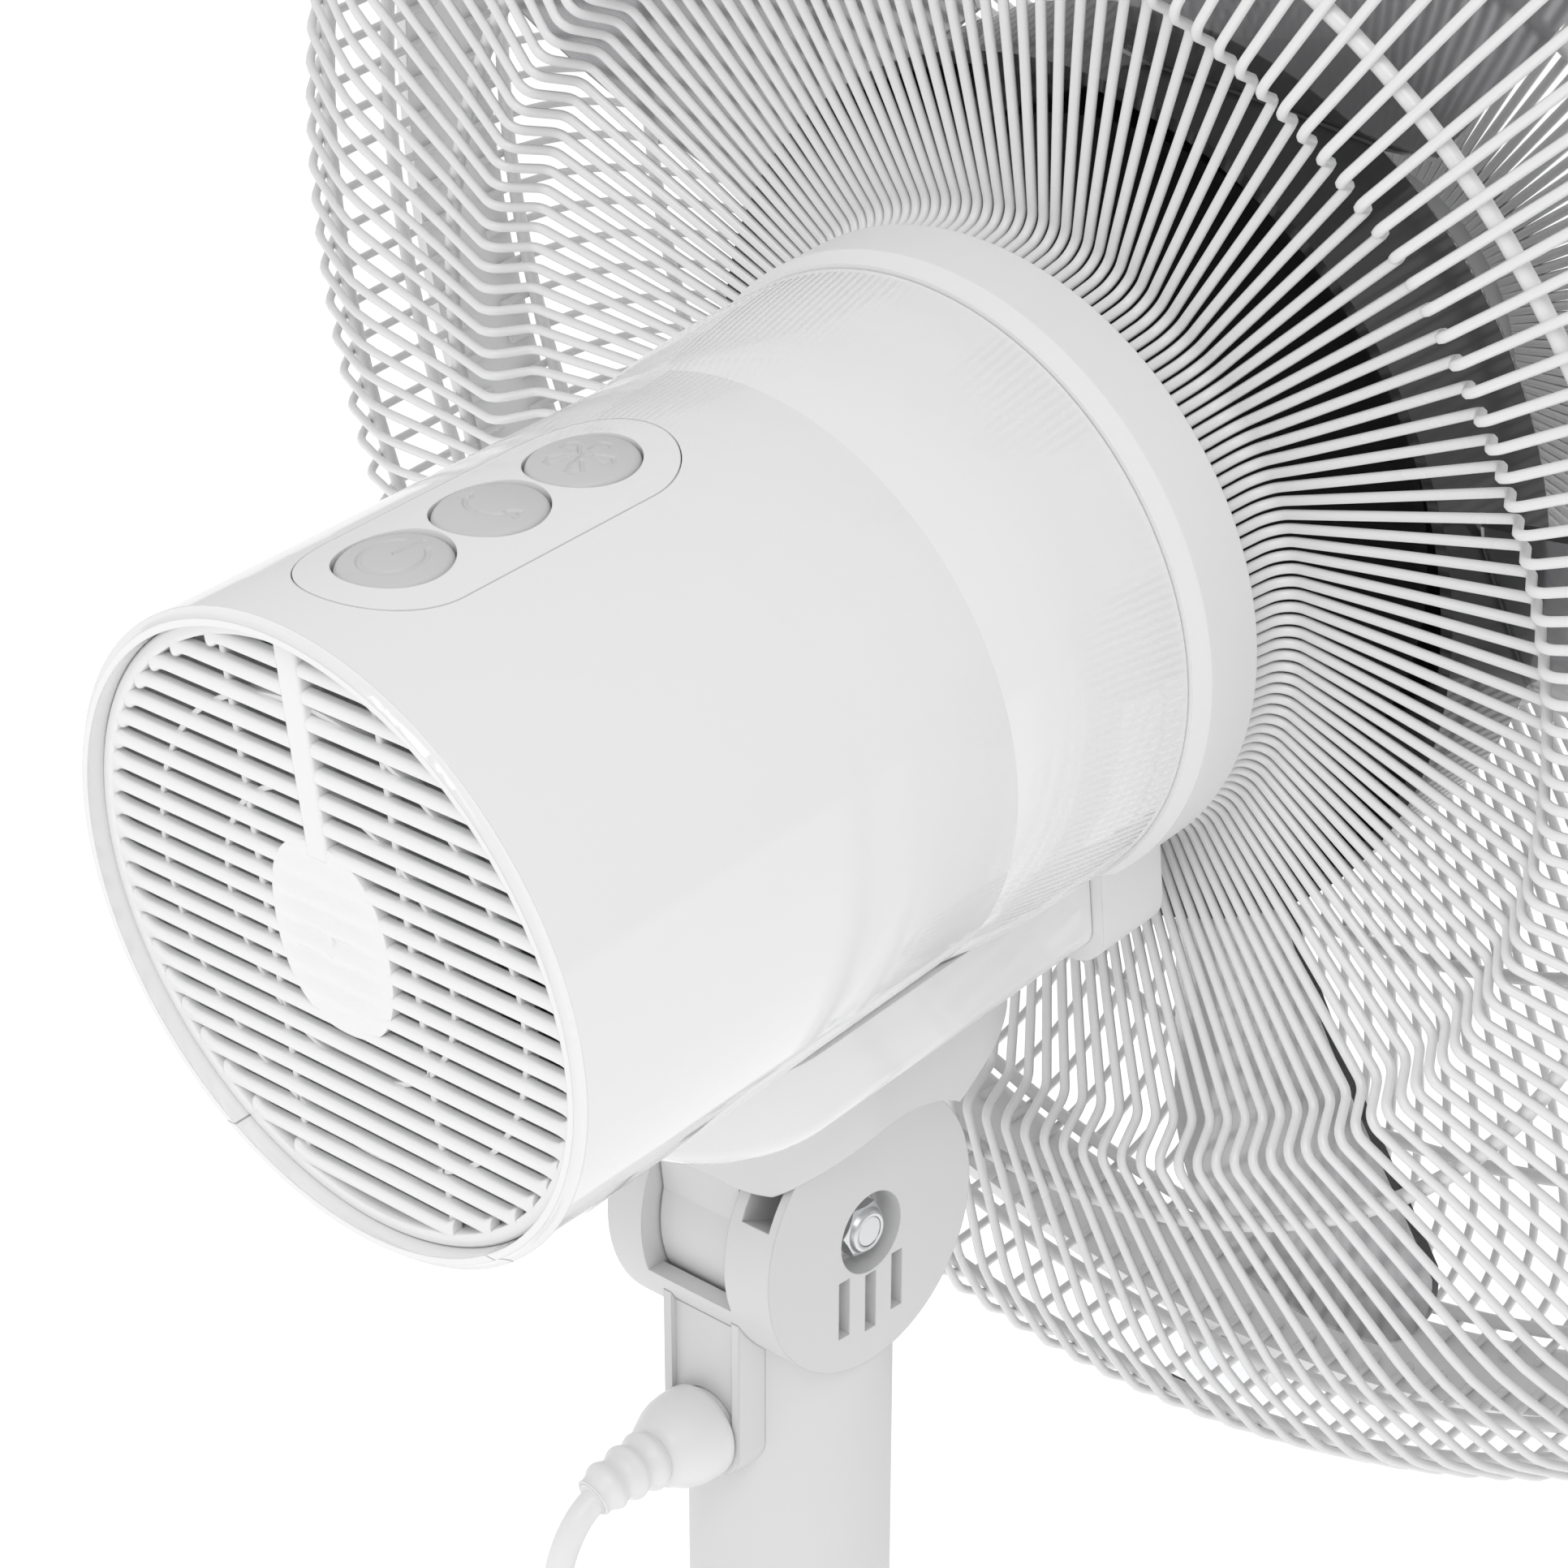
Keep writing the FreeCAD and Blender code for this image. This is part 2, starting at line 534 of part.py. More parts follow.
nose_start = "inlet_floor + 4.3"
nose = rod("inlet_radius - 0.25", "block_back - inlet_floor - 3.8", y=nose_start, z=inlet_height, along="Y")
grip = rod("grip_radius", "grip_length", y="block_back + 0.2", z=inlet_height, along="Y")
taper_start = "block_back + 0.2 + grip_length"
taper = put(make("Cone", Radius1="grip_radius", Radius2="cord_radius + 2.2", Height="grip_taper"),
            y=taper_start, z=inlet_height, along="Y")
relief = put(make("Cone", Radius1="cord_radius + 2", Radius2="cord_radius + 0.8", Height="relief_length"),
             y=taper_start + " + grip_taper", z=inlet_height, along="Y")
pin_holes = [rod("pin_radius + 0.1", "block_back - inlet_floor", x="pin_offset*%d" % side,
                 y="inlet_floor + 3", z=inlet_height, along="Y") for side in (-1, 1)]
node("cord_connector", "stand", minus(plus(nose, grip, taper, relief), *pin_holes))

# ---------------------------------------------------------------- tilt bolt

recess_floor = "ear_outer - recess_depth"
bolt_length = "ear_outer*2 - recess_depth - 0.4"
shank = rod("bolt_radius", bolt_length + " - washer_thick", x="-ear_outer + 0.4", z="hinge_height", along="X")
bolt_head = put(make("Prism", Circumradius="nut_radius", Height="nut_thick"),
                x=recess_floor + " + washer_thick", z="hinge_height", along="X")
shank_end = rod("bolt_radius", "washer_thick*2", x=recess_floor + " - washer_thick", z="hinge_height",
                along="X")
node("tilt_bolt", "stand", plus(shank, shank_end, bolt_head))
nut = put(make("Prism", Circumradius="nut_radius", Height="nut_thick"),
          x="-ear_outer + recess_depth - washer_thick - nut_thick", z="hinge_height", along="X")
node("tilt_nut", "stand", minus(nut, rod("bolt_radius", "nut_thick + 2", x="-ear_outer - 1",
                                         z="hinge_height", along="X")))
washers = [tube("washer_radius", "bolt_radius", "washer_thick", x=start, z="hinge_height", along="X")
           for start in ("-ear_outer + recess_depth - washer_thick", recess_floor)]
node("tilt_washers", "stand", *washers)

# ---------------------------------------------------------------- tilt bracket

barrel_span = "ear_inner + ear_inner_b - side_gap*2"
barrel_start = "-ear_inner + side_gap"
barrel = rod("barrel_radius", barrel_span, x=barrel_start, along="X")
column = block(barrel_span, "barrel_radius*2 - 4", "platform_top - 4", x=cradle_mid)
platform_deep = "platform_front + platform_back"
platform_mid = "(platform_back - platform_front)/2"
raw_platform = block("platform_half*2", platform_deep, "platform_top - platform_low", y=platform_mid,
                     z="platform_low")
soft_platform = rounded(raw_platform, "platform_round", "Z")
bowl = put(make("Cone", Radius1="platform_half + 1", Radius2="platform_half + 23",
                Height="platform_top - platform_low"),
           z="platform_low")
ear_sweep = rod("ear_radius + ear_gap", "platform_half*2 + 2", x="-platform_half - 1", along="X")
platform = minus(common(soft_platform, bowl), ear_sweep)
bush_hole = rod("bolt_radius + 2", cradle_span, x="-ear_inner", along="X")
post_hole = rod("post_radius", "platform_top", z="platform_low + 6")
node("tilt_bracket", "tilt", minus(plus(platform, barrel, column), bush_hole, post_hole))
node("tilt_bush", "tilt", tube("bolt_radius + 2", "bolt_radius + run_fit", barrel_span, x=barrel_start,
                               along="X"))
node("swing_post", "tilt", tube("post_radius", "post_bore", "post_top - platform_low - 6",
                                z="platform_low + 6"))


def gear(teeth, spin):
    """A spur gear with straight-flanked teeth, bored through, standing on gear_low."""
    module = value("gear_module")
    pitch = module * teeth / 2
    half = math.pi / (2 * teeth) - value("gear_backlash") / (4 * pitch)
    slope = math.tan(math.radians(20)) * module / pitch
    corners = []
    for tooth in range(teeth):
        middle = 2 * math.pi * tooth / teeth + spin
        for radius, angle in ((pitch - 1.2 * module, -half - 1.2 * slope),
                              (pitch + 0.9 * module, -half + 0.9 * slope),
                              (pitch + 0.9 * module, half - 0.9 * slope),
                              (pitch - 1.2 * module, half + 1.2 * slope)):
            corners.append(Vector(radius * math.cos(middle + angle), radius * math.sin(middle + angle),
                                  value("gear_low")))
    face = Part.Face(Part.makePolygon(corners + corners[:1]))
    return face.extrude(Vector(0, 0, value("gear_thick")))


ring = gear(round(value("ring_teeth")), math.pi / 2)
ring = ring.cut(Part.makeCylinder(value("post_radius"), 40, Vector(0, 0, value("gear_low") - 10)))
node("swing_gear", "tilt", feature(ring))
node("post_clip", "tilt", tube("post_radius + 3", "post_radius", "1.2", z="gear_low + gear_thick"))

gear_distance = "gear_module*(ring_teeth + pinion_teeth)/2"
pinion_count = round(value("pinion_teeth"))
pinion_shape = gear(pinion_count, -math.pi / 2 + math.pi / pinion_count)
pinion_shape.translate(Vector(0, value(gear_distance), 0))
pinion_shaft = Part.makeCylinder(2.5, value("swing_motor_low - gear_low"),
                                 Vector(0, value(gear_distance), value("gear_low")))
node("swing_pinion", "tilt", feature(pinion_shape.fuse(pinion_shaft)))

legs = [rod("3", "swing_motor_low - keel_low - base_wall + 3", x="(swing_motor_radius + 5)*%d" % side,
            y=gear_distance, z="keel_low + base_wall") for side in (-1, 1)]
ears = [block("12", "9", "3", x="(swing_motor_radius + 2)*%d" % side, y=gear_distance, z="swing_motor_low")
        for side in (-1, 1)]
can = rod("swing_motor_radius", "swing_motor_high", y=gear_distance, z="swing_motor_low")
shaft_room = rod("3", "2.5", y=gear_distance, z="swing_motor_low - 1")
node("swing_motor", "tilt", minus(plus(can, *legs, *ears), shaft_room))

# ---------------------------------------------------------------- housing

shell_outline = [
    ("seam_radius", "collar_depth + seam_gap", "-flare_radius"),
    ("waist_radius", "waist_depth"),
    ("tail_radius", "shell_end - 1.6", "1.7"),
    ("tail_radius - 1.6", "shell_end"),
    ("tail_radius - shell_wall", "shell_end"),
    ("tail_radius - shell_wall", "grille_back - grille_thick - 3"),
    ("waist_radius - shell_wall", "waist_depth"),
    ("seam_radius - shell_wall", "collar_depth + seam_gap"),
]
shell = revolved("ShellBody", shell_outline)
shell_again = revolved("ShellBodyAgain", shell_outline)
shell_third = revolved("ShellBodyThird", shell_outline)
lip = tube("collar_radius - 5", "collar_radius - 7.2", "9", z="collar_depth - 6")
split_length = "shell_end - collar_depth"
split = block("split_half*2", "tail_radius", split_length + " + 20", y="split_drop + tail_radius/2",
              z="collar_depth - 8")
split_core = block("split_half*2 - seam_gap*2", "tail_radius", split_length + " + 2",
                   y="split_drop + seam_gap + tail_radius/2", z="collar_depth")
pill_raw = block("pill_half*2 + panel_gap*2", "20", "pill_length + panel_gap*2", y="-waist_radius",
                 z="button_depth - pill_length/2 - panel_gap")
pill_room = rounded(pill_raw, "pill_half - 0.1", "Y")
pill_core_raw = block("pill_half*2", "20", "pill_length", y="-waist_radius", z="button_depth - pill_length/2")
pill_core = rounded(pill_core_raw, "pill_half - 0.1", "Y")
node("housing_shell", "shaft", minus(plus(shell, lip), split, pill_room))

button_places = ["button_depth + button_pitch*%d" % step for step in (1, 0, -1)]
button_holes = [rod("button_radius + button_gap", "20", y="-waist_radius - 10", z=deep,
                    along="Y") for deep in button_places]
posts = [rod("2.2", "waist_radius - board_rise - 3", y="-waist_radius + 2",
             z="button_depth + (pill_length/2 - 3)*%d" % side, along="Y") for side in (-1, 1)]
node("button_panel", "shaft", plus(minus(common(shell_again, pill_core), *button_holes), *posts))

board = block("pill_half*2", "board_thick", "pill_length", y="-board_rise - board_thick/2",
              z="button_depth - pill_length/2")
switches = [rod("3", "1.6", y="-board_rise - board_thick - 1.5", z=deep, along="Y") for deep in button_places]
post_fit = [rod("2.25", "10", y="-board_rise - 5", z="button_depth + (pill_length/2 - 3)*%d" % side,
                along="Y") for side in (-1, 1)]
node("control_board", "shaft", minus(plus(board, *switches), *post_fit))

for name, deep in zip(("power_button", "swing_button", "speed_button"), button_places):
    stem_end = "button_rise - board_rise - board_thick - 1.6 - button_travel"
    button = revolved(name + "_turned", [
        ("0", "0", "-button_dome"),
        ("button_radius", "button_edge"),
        ("button_radius", "6"),
        ("2", "6"),
        ("2", stem_end),
        ("0", stem_end),
    ])
    node(name, "shaft", put(button, y="-button_rise", z=deep, along="Y"))

# bottom cover: a shallow tray with a rounded rear end, and a strip of the round underside behind it
tray_high = "axis_rise - split_drop - keel_low"
tray_raw = block("keel_half*2", "%s + 6" % tray_high, "keel_end - collar_depth - seam_gap",
                 y="axis_rise - keel_low - (%s + 6)/2" % tray_high, z="collar_depth + seam_gap")
tray_corner = rounded(tray_raw, "keel_round", "Y", lambda mid: mid.z > value("keel_end") - 1)
doc.recompute()
tray_edges = []
for number, edge in enumerate(tray_corner.Shape.Edges, start=1):
    middle = edge.CenterOfMass
    low = abs(middle.y - value("axis_rise - keel_low")) < 0.01
    front = abs(middle.z - value("collar_depth + seam_gap")) < 0.01
    if low and not front:
        tray_edges.append((number, value("keel_edge"), value("keel_edge")))
tray = doc.addObject("Part::Fillet", "Fillet")
tray.Base = tray_corner
tray.Edges = tray_edges
inner_raw = block("keel_half*2 - base_wall*2", "%s + 12" % tray_high, "keel_end - collar_depth - base_wall*2",
                  y="axis_rise - keel_low - base_wall - (%s + 12)/2" % tray_high,
                  z="collar_depth + base_wall")
inner = rounded(inner_raw, "keel_round - base_wall", "Y",
                lambda mid: mid.z > value("keel_end - base_wall") - 2)
strip = common(shell_third, split_core)
shell_core = revolved("CoreBody", [
    ("0", "collar_depth - 1"),
    ("seam_radius - shell_wall", "collar_depth - 1"),
    ("seam_radius - shell_wall", "collar_depth + seam_gap"),
    ("waist_radius - shell_wall", "waist_depth"),
    ("tail_radius - shell_wall", "grille_back - grille_thick - 3"),
    ("tail_radius - shell_wall", "shell_end + 1"),
    ("0", "shell_end + 1"),
])
bush_bore = rod("post_radius + 3", "20", y="axis_rise - keel_low - 10", z="axis_forward", along="Y")
tray_cut = block("split_half*2 - seam_gap*2", "tail_radius", "keel_end",
                 y="split_drop + seam_gap + tail_radius/2",
                 z="collar_depth + seam_gap")
node("bottom_cover", "shaft", minus(plus(common(tray, tray_cut), strip), shell_core, inner, bush_bore))

bush_body = tube("post_radius + 3", "post_radius + run_fit", "gear_low - keel_low - 0.3", z="keel_low")
bush_flange = tube("post_radius + 7", "post_radius + run_fit", "keel_low - platform_top - 0.3",
                   z="platform_top + 0.3")
node("swing_bush", "tilt", plus(bush_body, bush_flange))

# ---------------------------------------------------------------- collar

collar_ring = revolved("CollarBody", [
    ("collar_radius - 0.8", "0"),
    ("collar_radius", "0.8"),
    ("collar_radius", "collar_depth - 4"),
    ("collar_radius - 1.4", "collar_depth"),
    ("collar_radius - 4.6", "collar_depth"),
    ("collar_radius - 4.6", "collar_web + web_thick"),
    ("boss_bore", "collar_web + web_thick"),
    ("boss_bore", "0.5"),
    ("boss_radius", "0.5"),
    ("boss_radius", "collar_web"),
    ("collar_radius - collar_lip", "collar_web"),
    ("collar_radius - collar_lip", "0"),
])
chin_raw = block("chin_half*2", "chin_drop - 30", "collar_depth", y="(chin_drop + 30)/2")
chin = rounded(chin_raw, "chin_round", "Z", lambda mid: mid.y > NUMBERS["chin_drop"] - 1)
chin_front = rod("collar_radius - collar_lip", "collar_web + 1", z="-1")
chin_middle = rod("collar_radius - 6", "web_thick + 2", z="collar_web - 1")
chin_back = rod("collar_radius - 4.6", "collar_depth", z="collar_web + web_thick - 0.01")
screw_circle = "motor_radius - 8"
cable_hole = rod("4", "40", x="50", z="-10")
screw_spots = []
for index in range(4):
    turn = math.pi / 4 + index * math.pi / 2
    screw_spots.append(("(%s)*%.6f" % (screw_circle, math.cos(turn)),
                        "(%s)*%.6f" % (screw_circle, math.sin(turn))))
collar_holes = [rod("2.2", "40", x=across, y=down, z="-10") for across, down in screw_spots]
collar_holes += [rod("3.9", "web_thick + 10", x=across, y=down, z="collar_web - 11")
                 for across, down in screw_spots]
node("collar", "shaft", minus(plus(collar_ring, minus(chin, chin_front, chin_middle, chin_back)),
                              cable_hole, *collar_holes))

# ---------------------------------------------------------------- rear grille

grille_radius = "tail_radius - shell_wall - 0.1"
grille_front = "grille_back - grille_thick"
grille_rim = tube(grille_radius, grille_radius + " - 2.6", "grille_thick", z=grille_front)
grille_disc = rod(grille_radius + " - 1", "grille_thick", z=grille_front)
slats = []
slat_count = round(value("slat_count"))
for index in range(slat_count):
    height = "(%s)*%.6f" % (grille_radius, 2 * (index + 0.5) / slat_count - 1)
    slats.append(block("tail_radius*2", "slat_thick", "grille_thick - 0.6", y=height, z=grille_front))
ribs = [block("1.8", "tail_radius*2", "grille_thick - 2", x=across, z=grille_front)
        for across in ("-tail_radius/3", "0", "tail_radius/3")]
oval = rod("oval_radius", "grille_thick", z=grille_front)
node("rear_grille", "shaft", plus(grille_rim, common(grille_disc, plus(*slats, *ribs)), oval))

# ---------------------------------------------------------------- motor

stator_back = "stator_front + stator_length"
web_back = "collar_web + web_thick"
front_bracket = revolved("FrontBracketBody", [
    ("bearing_radius", web_back),
    ("motor_radius - 4", web_back),
    ("motor_radius", web_back + " + 4"),
    ("motor_radius", "stator_front"),
    ("motor_radius - 2.5", "stator_front"),
    ("motor_radius - 2.5", web_back + " + 5"),
    ("motor_radius - 5", web_back + " + 3"),
    ("bearing_radius + 3", web_back + " + 3"),
    ("bearing_radius + 3", web_back + " + bearing_length + 1"),
    ("bearing_radius", web_back + " + bearing_length + 1"),
])
bracket_holes = [rod("2.1", "40", x=across, y=down, z="0") for across, down in screw_spots]
node("motor_front_bracket", "shaft", minus(front_bracket, *bracket_holes))
node("motor_rear_bracket", "shaft", revolved("RearBracketBody", [
    ("bearing_radius", "motor_back"),
    ("motor_radius - 4", "motor_back"),
    ("motor_radius", "motor_back - 4"),
    ("motor_radius", stator_back),
    ("motor_radius - 2.5", stator_back),
    ("motor_radius - 2.5", "motor_back - 5"),
    ("motor_radius - 5", "motor_back - 3"),
    ("bearing_radius + 3", "motor_back - 3"),
    ("bearing_radius + 3", "motor_back - bearing_length - 1"),
    ("bearing_radius", "motor_back - bearing_length - 1"),
]))
node("motor_stator", "shaft", tube("motor_radius", "stator_bore", "stator_length", z="stator_front"))
winding_starts = ("stator_front - 10", stator_back)
node("motor_windings", "shaft", *[tube("motor_radius - 7", "stator_bore + 2", "10", z=start)
                                  for start in winding_starts])
bearing_starts = (web_back + " + 0.5", "motor_back - bearing_length - 0.5")
bearings = [tube("bearing_radius", "spindle_radius + run_fit", "bearing_length", z=start)
            for start in bearing_starts]
node("motor_bearings", "shaft", *bearings)
screws = [plus(rod("3.8", "web_thick - 1", x=across, y=down, z="collar_web"),
               rod("2.1", "16", x=across, y=down, z="collar_web + 1")) for across, down in screw_spots]
node("motor_screws", "shaft", *screws)

pin_place = "-hub_front + 27.4"
spindle = rod("spindle_radius", "spindle_front + motor_back + 2", z="-spindle_front")
pin_hole = rod("1.25", "20", x="-10", z=pin_place, along="X")
node("motor_shaft", "shaft", minus(spindle, pin_hole))
node("motor_rotor", "shaft", tube("stator_bore - 0.5", "spindle_radius", "stator_length + 4",
                                  z="stator_front - 2"))
node("blade_pin", "shaft", rod("1.25", "17", x="-8.5", z=pin_place, along="X"))

# ---------------------------------------------------------------- fan

hub = revolved("HubBody", [
    ("spindle_radius + 0.02", "0"),
    ("hub_radius - 6", "0", "-9"),
    ("hub_radius", "5"),
    ("hub_radius", "hub_front - hub_back"),
    ("hub_radius - 2.5", "hub_front - hub_back"),
    ("hub_radius - 2.5", "6"),
    ("hub_radius - 7", "2.8"),
    ("hub_rib + 2", "2.8"),
    ("hub_rib + 2", "18"),
    ("hub_rib", "18"),
    ("hub_rib", "2.8"),
    ("spindle_radius + 5", "2.8"),
    ("spindle_radius + 5", "26"),
    ("spindle_radius + 0.02", "26"),
])
put(hub, z="-hub_front")


def blade_section(radius, chord, pitch, camber):
    """A cambered section across the blade at one radius: two arcs closed by two short ends."""
    half = chord / 2
    lean = math.radians(pitch)
    middle = -value("blade_middle")

    def spot(along, rise):
        return Vector(along * math.cos(lean) - rise * math.sin(lean), -radius,
                      middle + along * math.sin(lean) + rise * math.cos(lean))

    thick = value("blade_thick")
    upper = Part.Arc(spot(-half, thick / 2), spot(0, camber + thick / 2), spot(half, thick / 2)).toShape()
    lower = Part.Arc(spot(half, -thick / 2), spot(0, camber - thick / 2), spot(-half, -thick / 2)).toShape()
    return Part.Wire([upper, Part.makeLine(spot(half, thick / 2), spot(half, -thick / 2)), lower,
                      Part.makeLine(spot(-half, -thick / 2), spot(-half, thick / 2))])


hub_edge = value("hub_radius")
tip = value("blade_tip")
reach = tip - hub_edge
SECTIONS = ((-2, 60, 29, 4), (0.3 * reach, 80, 27, 6), (0.62 * reach, 96, 22, 7), (reach + 1, 104, 16, 6))
blade = Part.makeLoft([blade_section(hub_edge + out, *rest) for out, *rest in SECTIONS], True, False)
span = value("blade_span")
blade_room = Part.makeBox(span, reach + 6, 90, Vector(-span / 2, -tip, -value("hub_front") - 30))
corners = [edge for edge in blade_room.Edges
           if abs(edge.CenterOfMass.y + tip) < 0.01 and abs(edge.tangentAt(edge.FirstParameter).z) > 0.9]
blade_room = blade_room.makeFillet(value("blade_round"), corners)
blade = blade.common(blade_room).common(Part.makeCylinder(tip, 120, Vector(0, 0, -120)))
blade = blade.cut(Part.makeCylinder(hub_edge - 1.2, 120, Vector(0, 0, -120)))
count = round(value("blade_count"))
blades = [feature(blade.rotated(Vector(), Vector(0, 0, 1), 360 * index / count + value("blade_turn")))
          for index in range(count)]
node("fan_blade", "shaft", plus(hub, *blades))

nut_body = revolved("SpinnerNutBody", [
    ("0", "0", "-26"),
    ("spindle_radius + 5", "1.8"),
    ("spindle_radius + 8", "6"),
    ("spindle_radius + 8", "spindle_front - hub_front + 3"),
    ("spindle_radius + 0.03", "spindle_front - hub_front + 3"),
    ("spindle_radius + 0.03", "2.8"),
    ("0", "2.8"),
])
node("spinner_nut", "shaft", put(nut_body, z="-spindle_front - 3"))

# ---------------------------------------------------------------- guard


def bent_path(points, radii):
    """Straight runs through points, joined at each inner point by a tangent arc of the given radius."""
    edges = []
    last = points[0]
    for before, corner, after, radius in zip(points, points[1:], points[2:], radii):
        back = (before - corner).normalize()
        ahead = (after - corner).normalize()
        half = back.getAngle(ahead) / 2
        setback = radius / math.tan(half)
        start = corner + back * setback
        end = corner + ahead * setback
        middle = corner + (back + ahead).normalize() * (radius / math.sin(half) - radius)
        edges.append(Part.makeLine(last, start))
        edges.append(Part.Arc(start, middle, end).toShape())
        last = end
    edges.append(Part.makeLine(last, points[-1]))
    return Part.Wire(edges)


def pipe(path, radius):
    """A round wire or cord along a path."""
    start = path.Edges[0].Vertexes[0].Point
    towards = path.Edges[0].tangentAt(path.Edges[0].FirstParameter)
    ring_wire = Part.Wire([Part.makeCircle(radius, start, towards)])
    return path.makePipeShell([ring_wire], True, False)


def wire_set(points):
    """One guard wire, its bends mitred, repeated all the way round the shaft axis."""
    spots = [Vector(out, 0, deep) for out, deep in points]
    ring_wire = Part.Wire([Part.makeCircle(value("wire_radius"), spots[0], spots[1] - spots[0])])
    wire = Part.makePolygon(spots).makePipeShell([ring_wire], True, False, 1)
    total = round(value("wire_count"))
    return [wire.rotated(Vector(), Vector(0, 0, 1), 360 * index / total) for index in range(total)]


def hoop_on(points, run, share):
    """A hoop that is welded to the inside of the wires, part of the way along one of their runs."""
    start, end = [Vector(out, deep, 0) for out, deep in points[run:run + 2]]
    along = (end - start).normalize()
    spot = start + (end - start) * share + Vector(along.y, -along.x, 0) * value(hoop_step)
    return hoop("%.4f" % spot.x, "hoop_radius", z="%.4f" % spot.y)


plate_front = "collar_web - 1.55"
node("guard_plate", "shaft", tube("guard_root + 0.8", "boss_radius + 0.3", "1.5", z=plate_front))
nut_ring = tube("boss_radius + 7", "boss_radius + 0.05", plate_front + " - 0.5", z="0.5")
nut_flange = tube("boss_radius + 13", "boss_radius + 0.05", "2", z=plate_front + " - 2")
node("guard_nut", "shaft", plus(nut_ring, nut_flange))

root = value("guard_root")
side = value("guard_radius")
REAR_PATH = [
    (root, value(plate_front)),
    (root + 0.4, -3),
    (root + 2.1, -11),
    (root + 63, -3),
    (root + 68.5, 5.5),
    (root + 85, 1.2),
    (side - 39.5, -9),
    (side - 14.5, -22),
    (side - 1.5, -38),
    (side, -value("band_back") - 8),
]
node("rear_guard_wires", "shaft", feature(Part.Compound(wire_set(REAR_PATH))))
hoop_step = "wire_radius + hoop_radius - weld_bite"
rear_hoops = [hoop_on(REAR_PATH, run, share) for run, share in ((5, 0.02), (7, 0.6), (8, 0.5))]
node("rear_guard_hoops", "shaft", *rear_hoops)

band_front_start = "-band_front"
band_outer = "guard_radius + wire_radius + band_wall"
band_inner = "guard_radius + wire_radius + 0.2"
node("guard_band", "shaft", tube(band_outer, band_inner, "band_front - band_back", z=band_front_start))

front = value("guard_front")
badge = value("badge_radius")
FRONT_PATH = [
    (side, -value("band_front") + 8),
    (side - 0.4, -front + 29),
    (side - 4, -front + 17),
    (side - 14, -front + 7.5),
    (side - 40, -front + 1.5),
    (badge + 40, -front),
    (badge - 4, -front + 3),
]
node("front_guard_wires", "shaft", feature(Part.Compound(wire_set(FRONT_PATH))))
front_hoops = [hoop_on(FRONT_PATH, run, share) for run, share in ((0, 0.95), (3, 0.5), (4, 0.35), (4, 0.98))]
node("front_guard_hoops", "shaft", *front_hoops)
badge_body = revolved("BadgeBody", [
    ("0", "0", "-260"),
    ("badge_radius - 3", "3"),
    ("badge_radius", "5.5"),
    ("badge_radius", "8"),
    ("badge_radius - 10", "8"),
    ("badge_radius - 10", "5.6"),
    ("0", "3.6"),
])
node("front_badge", "shaft", put(badge_body, z="-guard_front - 6.2"))

# ---------------------------------------------------------------- guard latch

latch_bed = "guard_radius + wire_radius + band_wall + 0.3"
latch_pin_down = latch_bed + " + 4.4"
latch_pin_deep = "-(band_front + band_back)/2 - 10.5"
latch_body = block("24", "7", "30", y=latch_bed + " + 3.5", z="-(band_front + band_back)/2 - 15")
latch_slot = block("16.6", "7", "40", y=latch_bed + " + 5.1", z="-(band_front + band_back)/2 - 14")
latch_pin_hole = rod("1.52", "40", x="-20", y=latch_pin_down, z=latch_pin_deep, along="X")
node("latch_base", "shaft", minus(latch_body, latch_slot, latch_pin_hole))
node("latch_pin", "shaft", rod("1.5", "23.6", x="-11.8", y=latch_pin_down, z=latch_pin_deep, along="X"))
knuckle = rod("2.7", "16", x="-8", y=latch_pin_down, z=latch_pin_deep, along="X")
lever = block("16", "2.2", "36", y=latch_pin_down + " + 1.6", z=latch_pin_deep)
lever_hole = rod("1.56", "40", x="-20", y=latch_pin_down, z=latch_pin_deep, along="X")
node("guard_latch", "shaft", minus(plus(knuckle, lever), lever_hole))

# ---------------------------------------------------------------- cord

relief_end = value("block_back + 0.2 + grip_length + grip_taper + relief_length")
exit_height = value("hinge_height - inlet_drop")
floor_line = value("cord_radius + 0.1")
CORD_ROUTE = [
    (0, relief_end, exit_height),
    (0.6, relief_end + 7, exit_height - 1.5),
    (1.4, relief_end + 13, exit_height - 7.5),
    (2.2, relief_end + 16, exit_height - 17),
    (3.2, relief_end + 16.5, exit_height - 31),
    (4.6, relief_end + 14.5, exit_height - 54),
    (6, relief_end + 10, exit_height - 92),
    (5, relief_end + 6, exit_height - 148),
    (-1, relief_end + 4, exit_height - 222),
    (-8, relief_end + 7, exit_height - 300),
    (-11, relief_end + 15, exit_height - 378),
    (-7, relief_end + 28, exit_height - 455),
    (1, relief_end + 45, exit_height - 530),
    (7, relief_end + 66, exit_height - 603),
    (8, relief_end + 90, exit_height - 672),
    (3, relief_end + 113, exit_height - 735),
    (-4, relief_end + 133, exit_height - 788),
    (-9, relief_end + 149, exit_height - 826),
    (-10, relief_end + 163, exit_height - 847),
    (-6, relief_end + 179, floor_line + 0.6),
    (2, relief_end + 195, floor_line),
    (5, relief_end + 211, floor_line),
]


def tangent_radii(points):
    """The largest arc that each inner point of the route allows."""
    radii = []
    for before, corner, after in zip(points, points[1:], points[2:]):
        back = before - corner
        ahead = after - corner
        turn = math.pi - back.getAngle(ahead)
        radii.append(0.45 * min(back.Length, ahead.Length) / math.tan(turn / 2))
    return radii


